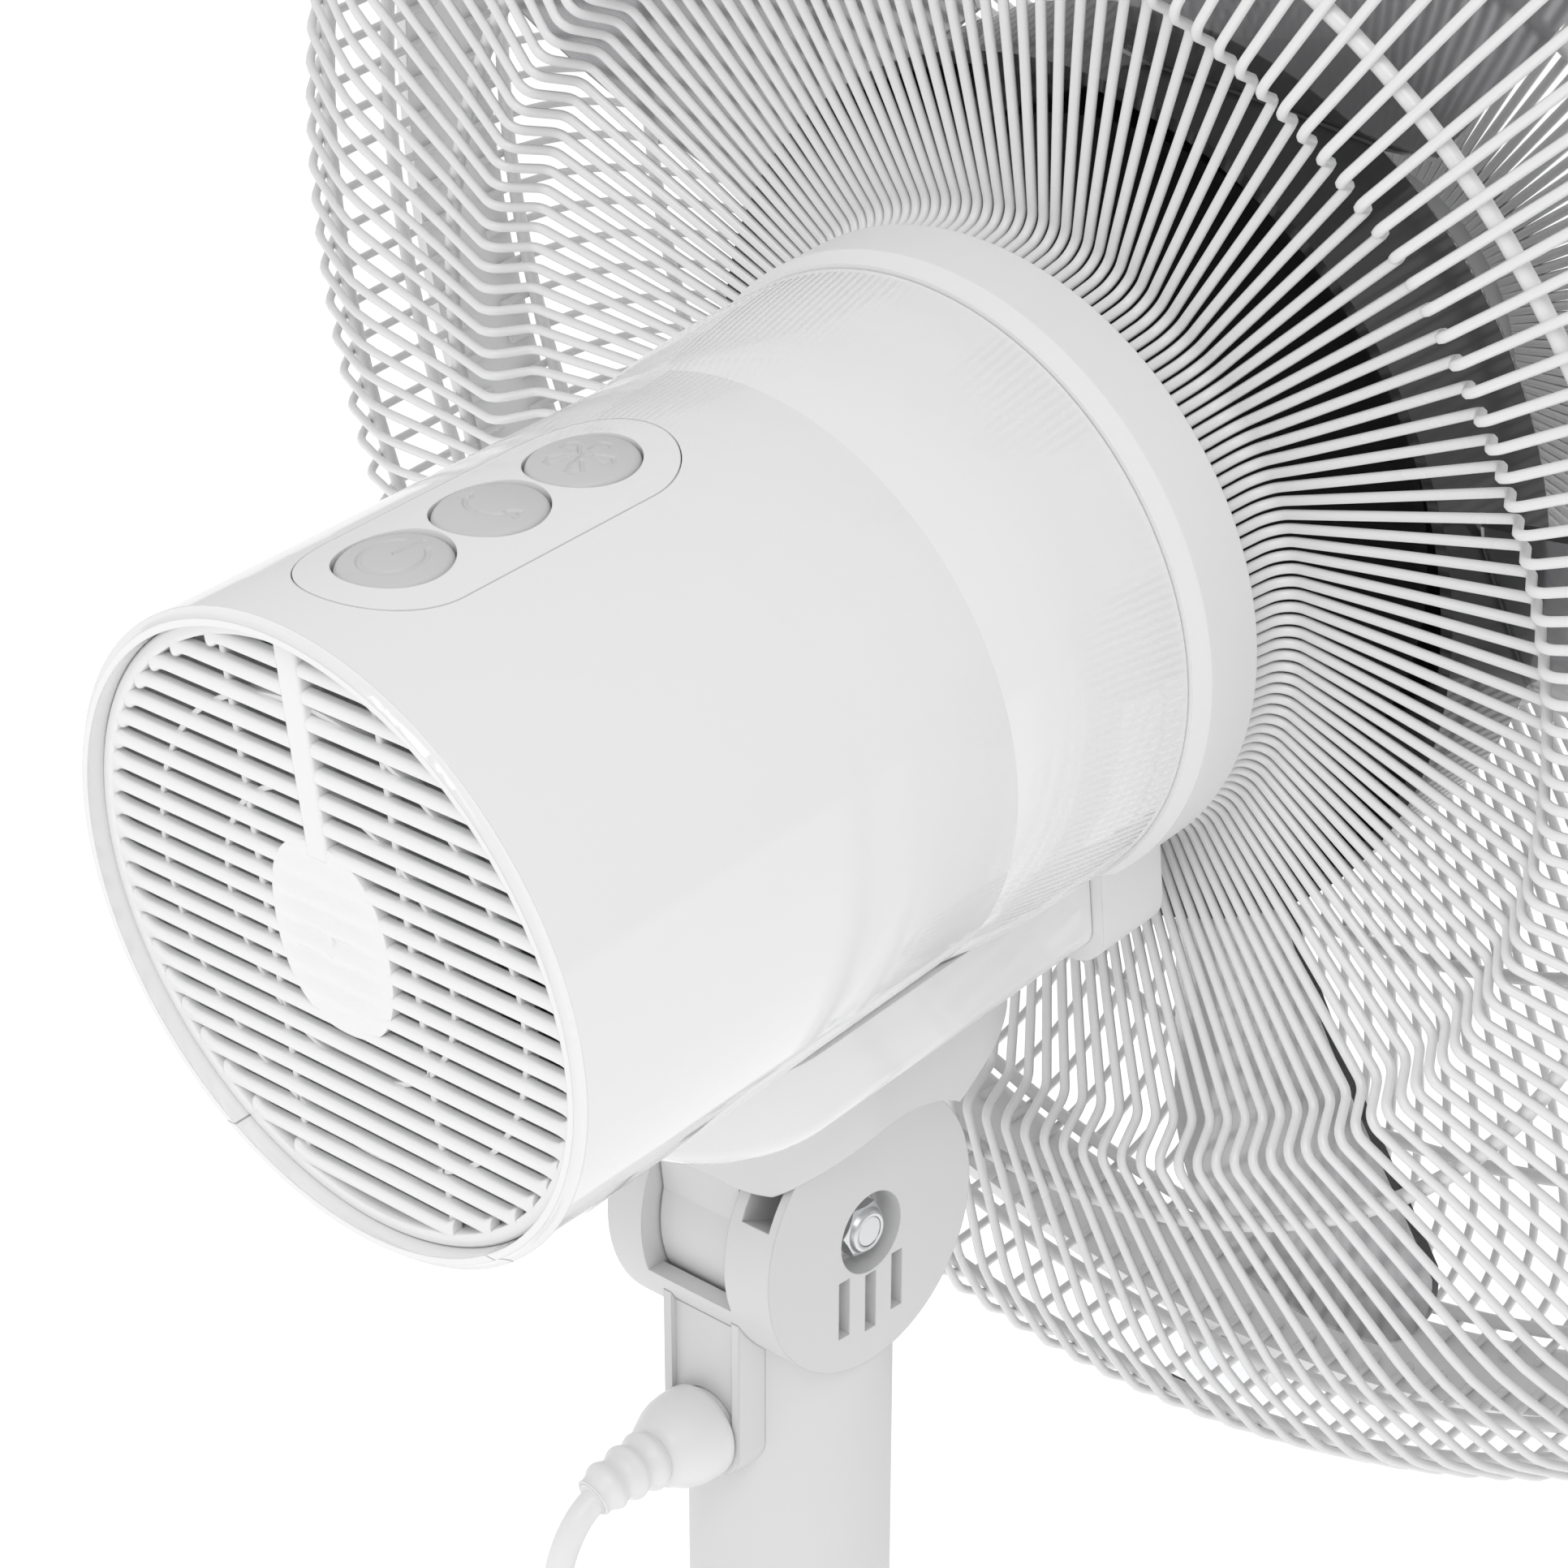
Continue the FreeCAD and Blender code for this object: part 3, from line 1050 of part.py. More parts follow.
route = [Vector(*point) for point in CORD_ROUTE]
route_radii = tangent_radii(route)
route_path = bent_path(route, route_radii)
cord = pipe(route_path, value("cord_radius"))
node("power_cord", "stand", feature(cord))
cord_section = math.pi * value("cord_radius") ** 2
print("cord tube %.0f mm, tightest radius %.1f mm, volume ratio %.4f" % (
    route_path.Length, min(route_radii), cord.Volume / (route_path.Length * cord_section)))

coil_x = CORD_ROUTE[-1][0] + value("coil_radius + cord_radius")
coil_y = CORD_ROUTE[-1][1] + value("coil_bundle")
coil_middle = {"x": "%.4f" % coil_x, "y": "%.4f" % coil_y}
node("cord_coil", "stand", tube("coil_radius + coil_bundle", "coil_radius - coil_bundle", "coil_bundle*2",
                                z="0.9", **coil_middle))
tie_size = "coil_bundle*2 + 1.6"
tie_out = block("tie_width", tie_size, tie_size, x=coil_middle["x"], y="%.4f - coil_radius" % coil_y, z="0.1")
tie_room = tube("coil_radius + coil_bundle + 0.02", "coil_radius - coil_bundle - 0.02",
                "coil_bundle*2 + 0.04", z="0.88", **coil_middle)
node("cord_tie", "stand", minus(tie_out, tie_room))

# the plug lies behind the coil, where the last turn leaves it towards +X
plug_start = "%.4f + 2" % coil_x
plug_y = "%.4f + coil_radius + coil_bundle + 2" % coil_y
plug_height = "mains_thick/2 + 0.1"
plug_body = plug_start + " + mains_tail"
tail = put(make("Cone", Radius1="cord_radius + 0.6", Radius2="cord_radius + 2.4", Height="mains_tail"),
           plug_start, plug_y, plug_height, along="X")
grip_raw = block("mains_length", "mains_width", "mains_thick", plug_body + " + mains_length/2", plug_y, "0.1")
grip_soft = rounded(grip_raw, "mains_round", "X")
plug_pins = [rod("2", "19", plug_body + " + mains_length - 1", plug_y + " + 9.5*%d" % side, plug_height,
                 along="X") for side in (-1, 1)]
node("mains_plug", "stand", plus(grip_soft, tail, *plug_pins))

# ---------------------------------------------------------------- write the parts

doc.recompute()
os.makedirs("parts", exist_ok=True)
for item in doc.Objects:
    if "Invalid" in item.State or "Error" in item.State:
        raise RuntimeError("%s failed: %s" % (item.Name, item.State))
for part in NODES:
    if part.Shape.isNull() or not part.Shape.isValid() or not part.Shape.Solids:
        raise RuntimeError(part.Label + " has no valid solid")
    part.Shape.exportStep("parts/%s.step" % part.Label)
    print("%-18s solids %3d  volume %9.0f mm3" % (part.Label, len(part.Shape.Solids), part.Shape.Volume))
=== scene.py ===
import json
import math

import bpy
from mathutils import Matrix, Vector


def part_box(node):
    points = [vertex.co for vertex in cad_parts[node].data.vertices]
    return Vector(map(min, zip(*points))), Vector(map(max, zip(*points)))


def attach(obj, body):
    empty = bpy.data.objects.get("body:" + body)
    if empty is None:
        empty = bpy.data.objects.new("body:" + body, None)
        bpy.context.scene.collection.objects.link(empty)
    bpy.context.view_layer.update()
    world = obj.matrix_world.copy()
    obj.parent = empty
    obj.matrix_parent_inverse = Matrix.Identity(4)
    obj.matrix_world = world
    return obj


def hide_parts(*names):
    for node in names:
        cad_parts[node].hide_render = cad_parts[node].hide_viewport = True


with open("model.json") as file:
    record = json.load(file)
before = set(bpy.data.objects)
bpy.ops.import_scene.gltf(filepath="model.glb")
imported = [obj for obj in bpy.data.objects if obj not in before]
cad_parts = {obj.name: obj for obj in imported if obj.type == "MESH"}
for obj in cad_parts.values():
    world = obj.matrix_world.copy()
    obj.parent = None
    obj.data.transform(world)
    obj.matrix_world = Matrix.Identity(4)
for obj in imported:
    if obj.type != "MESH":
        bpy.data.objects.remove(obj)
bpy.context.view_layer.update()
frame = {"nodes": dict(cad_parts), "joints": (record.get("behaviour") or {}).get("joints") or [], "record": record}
scene = bpy.context.scene
MM = 0.001
TAU = 2 * math.pi

# ---------------------------------------------------------------- local frames
# SHAFT has its origin at the centre of the collar's front edge, +Z backwards along the shaft, +Y down.
# STAND is the frame's own.

JOINTS = {joint["name"]: joint for joint in frame["joints"]}


def axes_matrix(x, y, z, origin):
    """The matrix whose local axes are x, y and z."""
    matrix = Matrix((x, y, z)).transposed().to_4x4()
    matrix.translation = origin
    return matrix


ACROSS = Vector((1, 0, 0))
HEAD_UP = Vector(JOINTS["swing"]["axis"]).normalized()
HEAD_BACK = -Vector(JOINTS["blade_spin"]["axis"]).normalized()
BOLT = Vector(JOINTS["head_tilt"]["pos_m"])
SHAFT = axes_matrix(ACROSS, -HEAD_UP, HEAD_BACK, Vector(JOINTS["blade_spin"]["pos_m"]))
STAND = Matrix.Identity(4)

CORD_EXIT = 47.0      # the end of the connector behind the pole axis, mm

# ---------------------------------------------------------------- camera

CAMERA_PLACE = Vector((-0.4634, 0.5023, 1.3115))
CAMERA_AZIMUTH = math.radians(222.79)
CAMERA_ELEVATION = math.radians(25.37)
CAMERA_LENS = 94.4


def make_camera():
    """The camera behind, beside and a little above the motor head."""
    data = bpy.data.cameras.new("camera")
    data.lens = CAMERA_LENS
    data.sensor_width = 36
    data.clip_start = 0.02
    data.clip_end = 60
    camera = bpy.data.objects.new("camera", data)
    scene.collection.objects.link(camera)
    back = Vector((math.sin(CAMERA_AZIMUTH) * math.cos(CAMERA_ELEVATION),
                   -math.cos(CAMERA_AZIMUTH) * math.cos(CAMERA_ELEVATION), math.sin(CAMERA_ELEVATION)))
    camera.location = CAMERA_PLACE
    camera.rotation_mode = "QUATERNION"
    camera.rotation_quaternion = (-back).to_track_quat("-Z", "Y")
    scene.camera = camera


make_camera()


# ---------------------------------------------------------------- materials

NOISE_RANGE = (0.3, 0.7)       # where nearly all of a noise's values lie
SHADE_SCALE = 14.0             # the wide noise that changes shade and gloss
COAT_ROUGH = 0.06


def noise_chain(tree, scale, detail=3.0, rough=0.5):
    """A noise texture in object space; returns its factor socket."""
    place = tree.nodes.new("ShaderNodeTexCoord")
    noise = tree.nodes.new("ShaderNodeTexNoise")
    noise.inputs["Scale"].default_value = scale
    noise.inputs["Detail"].default_value = detail
    noise.inputs["Roughness"].default_value = rough
    tree.links.new(place.outputs["Object"], noise.inputs["Vector"])
    return noise.outputs["Fac"]


def spread(tree, fac, low, high):
    """Map a noise factor onto a range of values."""
    ramp = tree.nodes.new("ShaderNodeMapRange")
    ramp.inputs["From Min"].default_value, ramp.inputs["From Max"].default_value = NOISE_RANGE
    ramp.inputs["To Min"].default_value = low
    ramp.inputs["To Max"].default_value = high
    tree.links.new(fac, ramp.inputs["Value"])
    return ramp.outputs["Result"]


def tinted(tree, fac, dark, light):
    """A colour that wanders between two close shades."""
    mix = tree.nodes.new("ShaderNodeMix")
    mix.data_type = "RGBA"
    mix.inputs["A"].default_value = (*dark, 1)
    mix.inputs["B"].default_value = (*light, 1)
    tree.links.new(fac, mix.inputs["Factor"])
    return mix.outputs["Result"]


def surface(name, colour, rough, shade=0.015, rough_play=0.04, grain=900.0, bump=0.02, depth=0.00005,
            edge=0.0, metallic=0.0, coat=0.0):
    """A moulded, painted or metal surface with its grain, shade and gloss varied by noise."""
    material = bpy.data.materials.new(name)
    material.use_nodes = True
    tree = material.node_tree
    shader = tree.nodes["Principled BSDF"]
    shader.inputs["Metallic"].default_value = metallic
    shader.inputs["Coat Weight"].default_value = coat
    shader.inputs["Coat Roughness"].default_value = COAT_ROUGH
    wide = noise_chain(tree, SHADE_SCALE, 4.0)
    dark = [max(0.0, channel - shade) for channel in colour]
    light = [min(1.0, channel + shade) for channel in colour]
    tree.links.new(tinted(tree, wide, dark, light), shader.inputs["Base Color"])
    fine = noise_chain(tree, grain, 2.0)
    gloss = spread(tree, wide, max(0.02, rough - rough_play), rough + rough_play)
    tree.links.new(gloss, shader.inputs["Roughness"])
    relief = tree.nodes.new("ShaderNodeBump")
    relief.inputs["Strength"].default_value = bump
    relief.inputs["Distance"].default_value = depth
    tree.links.new(fine, relief.inputs["Height"])
    if edge:
        soft = tree.nodes.new("ShaderNodeBevel")
        soft.samples = 4
        soft.inputs["Radius"].default_value = edge
        tree.links.new(soft.outputs["Normal"], relief.inputs["Normal"])
    tree.links.new(relief.outputs["Normal"], shader.inputs["Normal"])
    return material


def clear_plastic(name, colour, rough, ior=1.49, shade=0.03):
    """A see-through moulded plastic, tinted by its colour."""
    material = bpy.data.materials.new(name)
    material.use_nodes = True
    tree = material.node_tree
    shader = tree.nodes["Principled BSDF"]
    shader.inputs["Transmission Weight"].default_value = 1.0
    shader.inputs["IOR"].default_value = ior
    wide = noise_chain(tree, 9.0, 3.0)
    dark = [channel - shade for channel in colour]
    light = [channel + shade for channel in colour]
    tree.links.new(tinted(tree, wide, dark, light), shader.inputs["Base Color"])
    tree.links.new(spread(tree, wide, max(0.01, rough - 0.02), rough + 0.03), shader.inputs["Roughness"])
    return material


def vector_math(tree, operation, first, second):
    """A vector node whose second input is a plain value."""
    step = tree.nodes.new("ShaderNodeVectorMath")
    step.operation = operation
    tree.links.new(first, step.inputs[0])
    step.inputs[1].default_value = second
    return step.outputs["Vector"]


HUB_RADIUS = 0.090
HUB_EDGE = (0.0002, 0.0012)      # the smoke clears between these distances past the hub
HUB_SHADES = ((0.030, 0.030, 0.031), (0.042, 0.042, 0.043))
BLADE_SHADES = ((0.34, 0.34, 0.35), (0.40, 0.40, 0.41))
BLADE_CLEAR = 0.93


def smoked_fan(name):
    """The fan's smoky plastic: nearly opaque where the hub is thick, see-through in the thin blades."""
    material = bpy.data.materials.new(name)
    material.use_nodes = True
    tree = material.node_tree
    shader = tree.nodes["Principled BSDF"]
    shader.inputs["IOR"].default_value = 1.45
    place = tree.nodes.new("ShaderNodeTexCoord")
    away = vector_math(tree, "SUBTRACT", place.outputs["Object"], SHAFT.translation)
    across = vector_math(tree, "CROSS_PRODUCT", away, HEAD_BACK)
    length = tree.nodes.new("ShaderNodeVectorMath")
    length.operation = "LENGTH"
    tree.links.new(across, length.inputs[0])
    past_hub = tree.nodes.new("ShaderNodeMapRange")
    past_hub.inputs["From Min"].default_value = HUB_RADIUS + HUB_EDGE[0]
    past_hub.inputs["From Max"].default_value = HUB_RADIUS + HUB_EDGE[1]
    tree.links.new(length.outputs["Value"], past_hub.inputs["Value"])
    wide = noise_chain(tree, 9.0, 3.0)
    hub = tinted(tree, wide, *HUB_SHADES)
    blade = tinted(tree, wide, *BLADE_SHADES)
    mix = tree.nodes.new("ShaderNodeMix")
    mix.data_type = "RGBA"
    tree.links.new(past_hub.outputs["Result"], mix.inputs["Factor"])
    tree.links.new(hub, mix.inputs["A"])
    tree.links.new(blade, mix.inputs["B"])
    tree.links.new(mix.outputs["Result"], shader.inputs["Base Color"])
    see_through = tree.nodes.new("ShaderNodeMath")
    see_through.operation = "MULTIPLY"
    see_through.inputs[1].default_value = BLADE_CLEAR
    tree.links.new(past_hub.outputs["Result"], see_through.inputs[0])
    tree.links.new(see_through.outputs["Value"], shader.inputs["Transmission Weight"])
    tree.links.new(spread(tree, wide, 0.06, 0.12), shader.inputs["Roughness"])
    return material


# lengths in metres; what a row leaves out keeps surface()'s own value
FINISHES = {
    "gloss_white": dict(colour=(0.84, 0.84, 0.84), rough=0.08, shade=0.004, rough_play=0.02, grain=260,
                        bump=0.010, depth=0.0002, edge=0.0004, coat=0.4),
    "satin_white": dict(colour=(0.83, 0.83, 0.83), rough=0.33, shade=0.006, rough_play=0.05, grain=1500,
                        bump=0.05, depth=0.00004, edge=0.0004),
    "neck_white": dict(colour=(0.70, 0.70, 0.70), rough=0.46, shade=0.012, rough_play=0.06, grain=1700,
                       bump=0.09, depth=0.00004, edge=0.0004),
    "painted_pole": dict(colour=(0.84, 0.84, 0.84), rough=0.24, shade=0.008, rough_play=0.05, grain=420,
                         bump=0.06, depth=0.00008),
    "guard_wire": dict(colour=(0.78, 0.78, 0.78), rough=0.27, shade=0.012, rough_play=0.05, grain=700,
                       bump=0.05, depth=0.00006),
    "badge_white": dict(colour=(0.84, 0.84, 0.84), rough=0.16, shade=0.005, rough_play=0.03, grain=300,
                        bump=0.015, depth=0.0002, edge=0.0004),
    "dark_plastic": dict(colour=(0.035, 0.035, 0.037), rough=0.42, shade=0.008, rough_play=0.08, grain=1500,
                         bump=0.08, depth=0.00005, edge=0.0003),
    "button_grey": dict(colour=(0.60, 0.60, 0.60), rough=0.50, shade=0.010, rough_play=0.06, grain=2200,
                        bump=0.08, depth=0.00003),
    "zinc_steel": dict(colour=(0.66, 0.67, 0.68), rough=0.26, shade=0.05, rough_play=0.10, grain=900,
                       bump=0.10, depth=0.00006, edge=0.0003, metallic=1.0),
    "cast_weight": dict(colour=(0.045, 0.045, 0.048), rough=0.50, shade=0.012, rough_play=0.08, grain=500,
                        bump=0.25, depth=0.0002, edge=0.0005),
    "rubber_foot": dict(colour=(0.03, 0.03, 0.03), rough=0.75, shade=0.008, rough_play=0.08, grain=1500,
                        bump=0.15, depth=0.0001, edge=0.0003),
    "motor_steel": dict(colour=(0.32, 0.32, 0.33), rough=0.42, shade=0.05, rough_play=0.10, grain=1200,
                        bump=0.2, depth=0.0001, metallic=1.0),
    "motor_casting": dict(colour=(0.62, 0.62, 0.63), rough=0.45, shade=0.05, rough_play=0.08, grain=900,
                          bump=0.25, depth=0.0001, edge=0.0004, metallic=1.0),
    "copper_wire": dict(colour=(0.58, 0.26, 0.12), rough=0.32, shade=0.05, rough_play=0.08, grain=1200,
                        bump=0.3, depth=0.0002, metallic=1.0),
    "gear_plastic": dict(colour=(0.78, 0.78, 0.73), rough=0.38, shade=0.015, rough_play=0.05, grain=1300,
                         bump=0.05, depth=0.00004, edge=0.0002),
    "circuit_board": dict(colour=(0.03, 0.16, 0.06), rough=0.30, shade=0.02, rough_play=0.06, grain=1800,
                          bump=0.1, depth=0.00005),
    "cord_pvc": dict(colour=(0.80, 0.80, 0.80), rough=0.36, shade=0.010, rough_play=0.05, grain=1400,
                     bump=0.06, depth=0.00005, edge=0.0003),
    "tie_plastic": dict(colour=(0.05, 0.05, 0.05), rough=0.40, shade=0.01, rough_play=0.05, grain=1500,
                        bump=0.1, depth=0.00005),
    # a lighter copy of the white plastic for the guard band: painted light that lifts the band out of its shade
    "band_painted_bright": dict(colour=(0.86, 0.86, 0.86), rough=0.34, shade=0.01, rough_play=0.05, grain=1500,
                       bump=0.06, depth=0.00004, edge=0.0004),
}
MATERIALS = {slot: surface(slot, **finish) for slot, finish in FINISHES.items()}
MATERIALS["smoke_plastic"] = smoked_fan("smoke_plastic")
MATERIALS["clear_latch"] = clear_plastic("clear_latch", (0.93, 0.94, 0.95), 0.04)

SLOT_OF = {part["node"]: part["material_slot"] for part in frame["record"]["subparts"]}


def dress(obj, slot):
    """Give an object one of the record's finishes."""
    obj.data.materials.clear()
    obj.data.materials.append(MATERIALS[slot])


for name, obj in frame["nodes"].items():
    dress(obj, SLOT_OF[name])

# the band is the neck's plastic, given a lighter white than the neck: painted light that brightens the band where
# it lies in shade
frame["nodes"]["guard_band"].data.materials[0] = MATERIALS["band_painted_bright"]


# ---------------------------------------------------------------- mesh helpers (millimetres in a local frame)

def piece(name, verts, faces, slot, body, local=STAND, sharp=35):
    """A mesh piece from points in millimetres, in one of the local frames."""
    mesh = bpy.data.meshes.new(name)
    mesh.from_pydata([local @ (Vector(vert) * MM) for vert in verts], [], faces)
    mesh.update()
    mesh.shade_smooth()
    mesh.set_sharp_from_angle(angle=math.radians(sharp))
    obj = bpy.data.objects.new(name, mesh)
    scene.collection.objects.link(obj)
    dress(obj, slot)
    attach(obj, body)
    return obj


def grid_faces(rows, columns, start=0, wrap_rows=False, wrap_columns=True):
    """Quads between rows of points."""
    faces = []
    for row in range(rows if wrap_rows else rows - 1):
        for column in range(columns if wrap_columns else columns - 1):
            one = start + row * columns + column
            two = start + row * columns + (column + 1) % columns
            up = start + ((row + 1) % rows) * columns
            faces.append((one, two, up + (column + 1) % columns, up + column))
    return faces


def lathe(profile, steps=96, closed=False):
    """Points of (radius, height) turned about Z; an end at radius 0 is closed by a cap."""
    verts = [(radius * math.cos(TAU * step / steps), radius * math.sin(TAU * step / steps), height)
             for radius, height in profile for step in range(steps)]
    faces = grid_faces(len(profile), steps, wrap_rows=closed)
    if not closed:
        faces.append(tuple(reversed(range(steps))))
        faces.append(tuple(range((len(profile) - 1) * steps, len(profile) * steps)))
    return verts, faces


def joined(*parts):
    """Several (verts, faces) sets as one."""
    verts, faces = [], []
    for more, loops in parts:
        start = len(verts)
        verts.extend(more)
        faces.extend(tuple(start + spot for spot in loop) for loop in loops)
    return verts, faces


def bar(outline, stations):
    """An outline of (y, z) points carried along X; each station is (x, growth of the outline's y)."""
    verts = [(x, y * (1 + growth), z) for x, growth in stations for y, z in outline]
    sides = len(outline)
    faces = grid_faces(len(stations), sides)
    faces.append(tuple(reversed(range(sides))))
    faces.append(tuple(range((len(stations) - 1) * sides, len(stations) * sides)))
    return verts, faces


def swept(points, radii, sides=24):
    """A round rod of changing radius along a line that bends only in the YZ plane or nearly so."""
    verts = []
    for index, point in enumerate(points):
        ahead = (points[min(index + 1, len(points) - 1)] - points[max(index - 1, 0)]).normalized()
        across = ahead.orthogonal() if abs(ahead.x) > 0.99 else ahead.cross(ACROSS).normalized()
        up = ahead.cross(across)
        for step in range(sides):
            turn = TAU * step / sides
            verts.append(point + (across * math.cos(turn) + up * math.sin(turn)) * radii[index])
    faces = grid_faces(len(points), sides)
    faces.append(tuple(range(sides)))
    faces.append(tuple(reversed(range((len(points) - 1) * sides, len(points) * sides))))
    return verts, faces


def softened(points, radii, arc_step=14):
    """A (radius, height) line whose corners are rounded by arcs of the given radii."""
    line = [Vector(points[0])]
    for before, corner, after, radius in zip(points, points[1:], points[2:], radii):
        corner = Vector(corner)
        back = (Vector(before) - corner).normalized()
        ahead = (Vector(after) - corner).normalized()
        half = back.angle(ahead) / 2
        middle = corner + (back + ahead).normalized() * (radius / math.sin(half))
        start = corner + back * (radius / math.tan(half)) - middle
        end = corner + ahead * (radius / math.tan(half)) - middle
        turn = start.angle_signed(end)
        steps = max(2, math.ceil(abs(math.degrees(turn)) / arc_step))
        for step in range(steps + 1):
            swing = -turn * step / steps
            line.append(middle + Vector((start.x * math.cos(swing) - start.y * math.sin(swing),
                                         start.x * math.sin(swing) + start.y * math.cos(swing))))
    line.append(Vector(points[-1]))
    return line


# ---------------------------------------------------------------- wire guard

WIRE_RADIUS = 1.0
WIRE_COUNT = 160
WIRE_SIDES = 8
GUARD_ROOT = 61.0
GUARD_SIDE = 227.5
REAR_LINE = [(GUARD_ROOT, 7.45), (GUARD_ROOT + 0.4, -3), (GUARD_ROOT + 2.1, -11), (GUARD_ROOT + 63, -3),
             (GUARD_ROOT + 68.5, 5.5), (GUARD_ROOT + 85, 1.2), (GUARD_SIDE - 39.5, -9),
             (GUARD_SIDE - 14.5, -22), (GUARD_SIDE - 1.5, -38), (GUARD_SIDE, -74)]
REAR_BENDS = (10, 5, 4, 4, 30, 60, 16, 12)
FRONT_LINE = [(GUARD_SIDE, -84), (GUARD_SIDE - 0.4, -93), (GUARD_SIDE - 4, -105), (GUARD_SIDE - 14, -114.5),
              (GUARD_SIDE - 40, -120.5), (84, -122), (40, -119)]
FRONT_BENDS = (14, 18, 20, 90, 150)


def guard_half(name, line, bends, node):
    """One half of the guard: bent round wires, all the way round the shaft."""
    path = softened(line, bends)
    single = []
    for index, spot in enumerate(path):
        ahead = (path[min(index + 1, len(path) - 1)] - path[max(index - 1, 0)]).normalized()
        for step in range(WIRE_SIDES):
            turn = TAU * step / WIRE_SIDES
            out = spot + Vector((-ahead.y, ahead.x)) * (WIRE_RADIUS * math.cos(turn))
            single.append((out.x, WIRE_RADIUS * math.sin(turn), out.y))
    loops = grid_faces(len(path), WIRE_SIDES)
    loops.append(tuple(reversed(range(WIRE_SIDES))))
    loops.append(tuple(range(len(single) - WIRE_SIDES, len(single))))
    verts, faces = [], []
    for wire in range(WIRE_COUNT):
        turn = TAU * wire / WIRE_COUNT
        cos, sin = math.cos(turn), math.sin(turn)
        start = len(verts)
        verts.extend((x * cos - y * sin, x * sin + y * cos, z) for x, y, z in single)
        faces.extend(tuple(start + spot for spot in loop) for loop in loops)
    half = piece(name, verts, faces, "guard_wire", "head", SHAFT, 70)
    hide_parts(node)


guard_half("guard_wires_rear", REAR_LINE, REAR_BENDS, "rear_guard_wires")
guard_half("guard_wires_front", FRONT_LINE, FRONT_BENDS, "front_guard_wires")


# ---------------------------------------------------------------- rear grille

GRILLE_OUT = 57.8
GRILLE_IN = 55.0
GRILLE_FLOOR = 163.0
GRILLE_FACE = 167.0
SLATS = 22
SLAT_PITCH = 2 * GRILLE_IN / (SLATS + 0.4)
SLAT_HALF = 0.28 * SLAT_PITCH
SLAT_TOP = GRILLE_FACE - 0.15
SLAT_LOW = GRILLE_FLOOR + 1.7
SLAT_FLARE = [(1.1, 1.0), (0.1, 0.75), (-0.7, 0.3), (-1.7, 0.08), (-3.2, 0.0)]     # (past the rim, growth)
SPINE_HALF = 2.6
SPINE_END = -16.0
BACK_TOP = GRILLE_FACE - 1.6       # top of the rings and ribs behind the slats
RING_SHARES = (0.5, 0.8)
OVAL_HALF = (14.2, 18.6)
OVAL_POWER = 0.85                  # below 1 makes the ellipse a little squarer
OVAL_RINGS = 14
OVAL_STEPS = 96
OVAL_WAVE = 0.4


def soft_section(half, low, high, corner):
    """A slat's section: square in front, rounded on its rear face."""
    points = [(-half, low), (half, low)]
    for side, first in ((1, 0), (-1, 90)):
        for step in range(5):
            turn = math.radians(first + step * 22.5)
            across = side * (half - corner) + corner * math.cos(turn)
            points.append((across, high - corner + corner * math.sin(turn)))
    return points


def upright(verts, faces, across=0.0):
    """A bar turned from X to Y and moved across, with its faces still outward."""
    return [(y + across, x, z) for x, y, z in verts], [tuple(reversed(face)) for face in faces]


def grille_rim():
    """The rounded rim that the slats run into."""
    return lathe([(GRILLE_OUT, GRILLE_FLOOR), (GRILLE_OUT, GRILLE_FACE - 0.6),
                  (GRILLE_OUT - 0.5, GRILLE_FACE - 0.1), (GRILLE_OUT - 1.1, GRILLE_FACE),
                  (GRILLE_IN + 0.7, GRILLE_FACE),
                  (GRILLE_IN + 0.15, GRILLE_FACE - 0.3), (GRILLE_IN, GRILLE_FACE - 0.9),
                  (GRILLE_IN, GRILLE_FLOOR)], 128, closed=True)


def grille_slat(index):
    """One slat, which widens where it meets the rim."""
    down = (index - (SLATS - 1) / 2) * SLAT_PITCH
    reach = math.sqrt(GRILLE_IN ** 2 - down ** 2)
    left = [(-reach - out, grow) for out, grow in SLAT_FLARE]
    right = [(reach + out, grow) for out, grow in reversed(SLAT_FLARE)]
    verts, faces = bar(soft_section(SLAT_HALF, SLAT_LOW, SLAT_TOP, 0.9), left + right)
    return [(x, y + down, z) for x, y, z in verts], faces


def grille_backing():
    """The thin rings and upright ribs behind the slats."""
    parts = []
    for share in RING_SHARES:
        ring = GRILLE_IN * share
        parts.append(lathe([(ring - 0.7, GRILLE_FLOOR), (ring + 0.7, GRILLE_FLOOR), (ring + 0.5, BACK_TOP),
                            (ring - 0.5, BACK_TOP)], 96, closed=True))
    for across in (-GRILLE_IN / 3, GRILLE_IN / 3):
        reach = math.sqrt(GRILLE_IN ** 2 - across ** 2) + 0.5
        rib = bar(soft_section(0.7, GRILLE_FLOOR, BACK_TOP, 0.4), [(-reach, 0), (reach, 0)])
        parts.append(upright(*rib, across))
    return parts


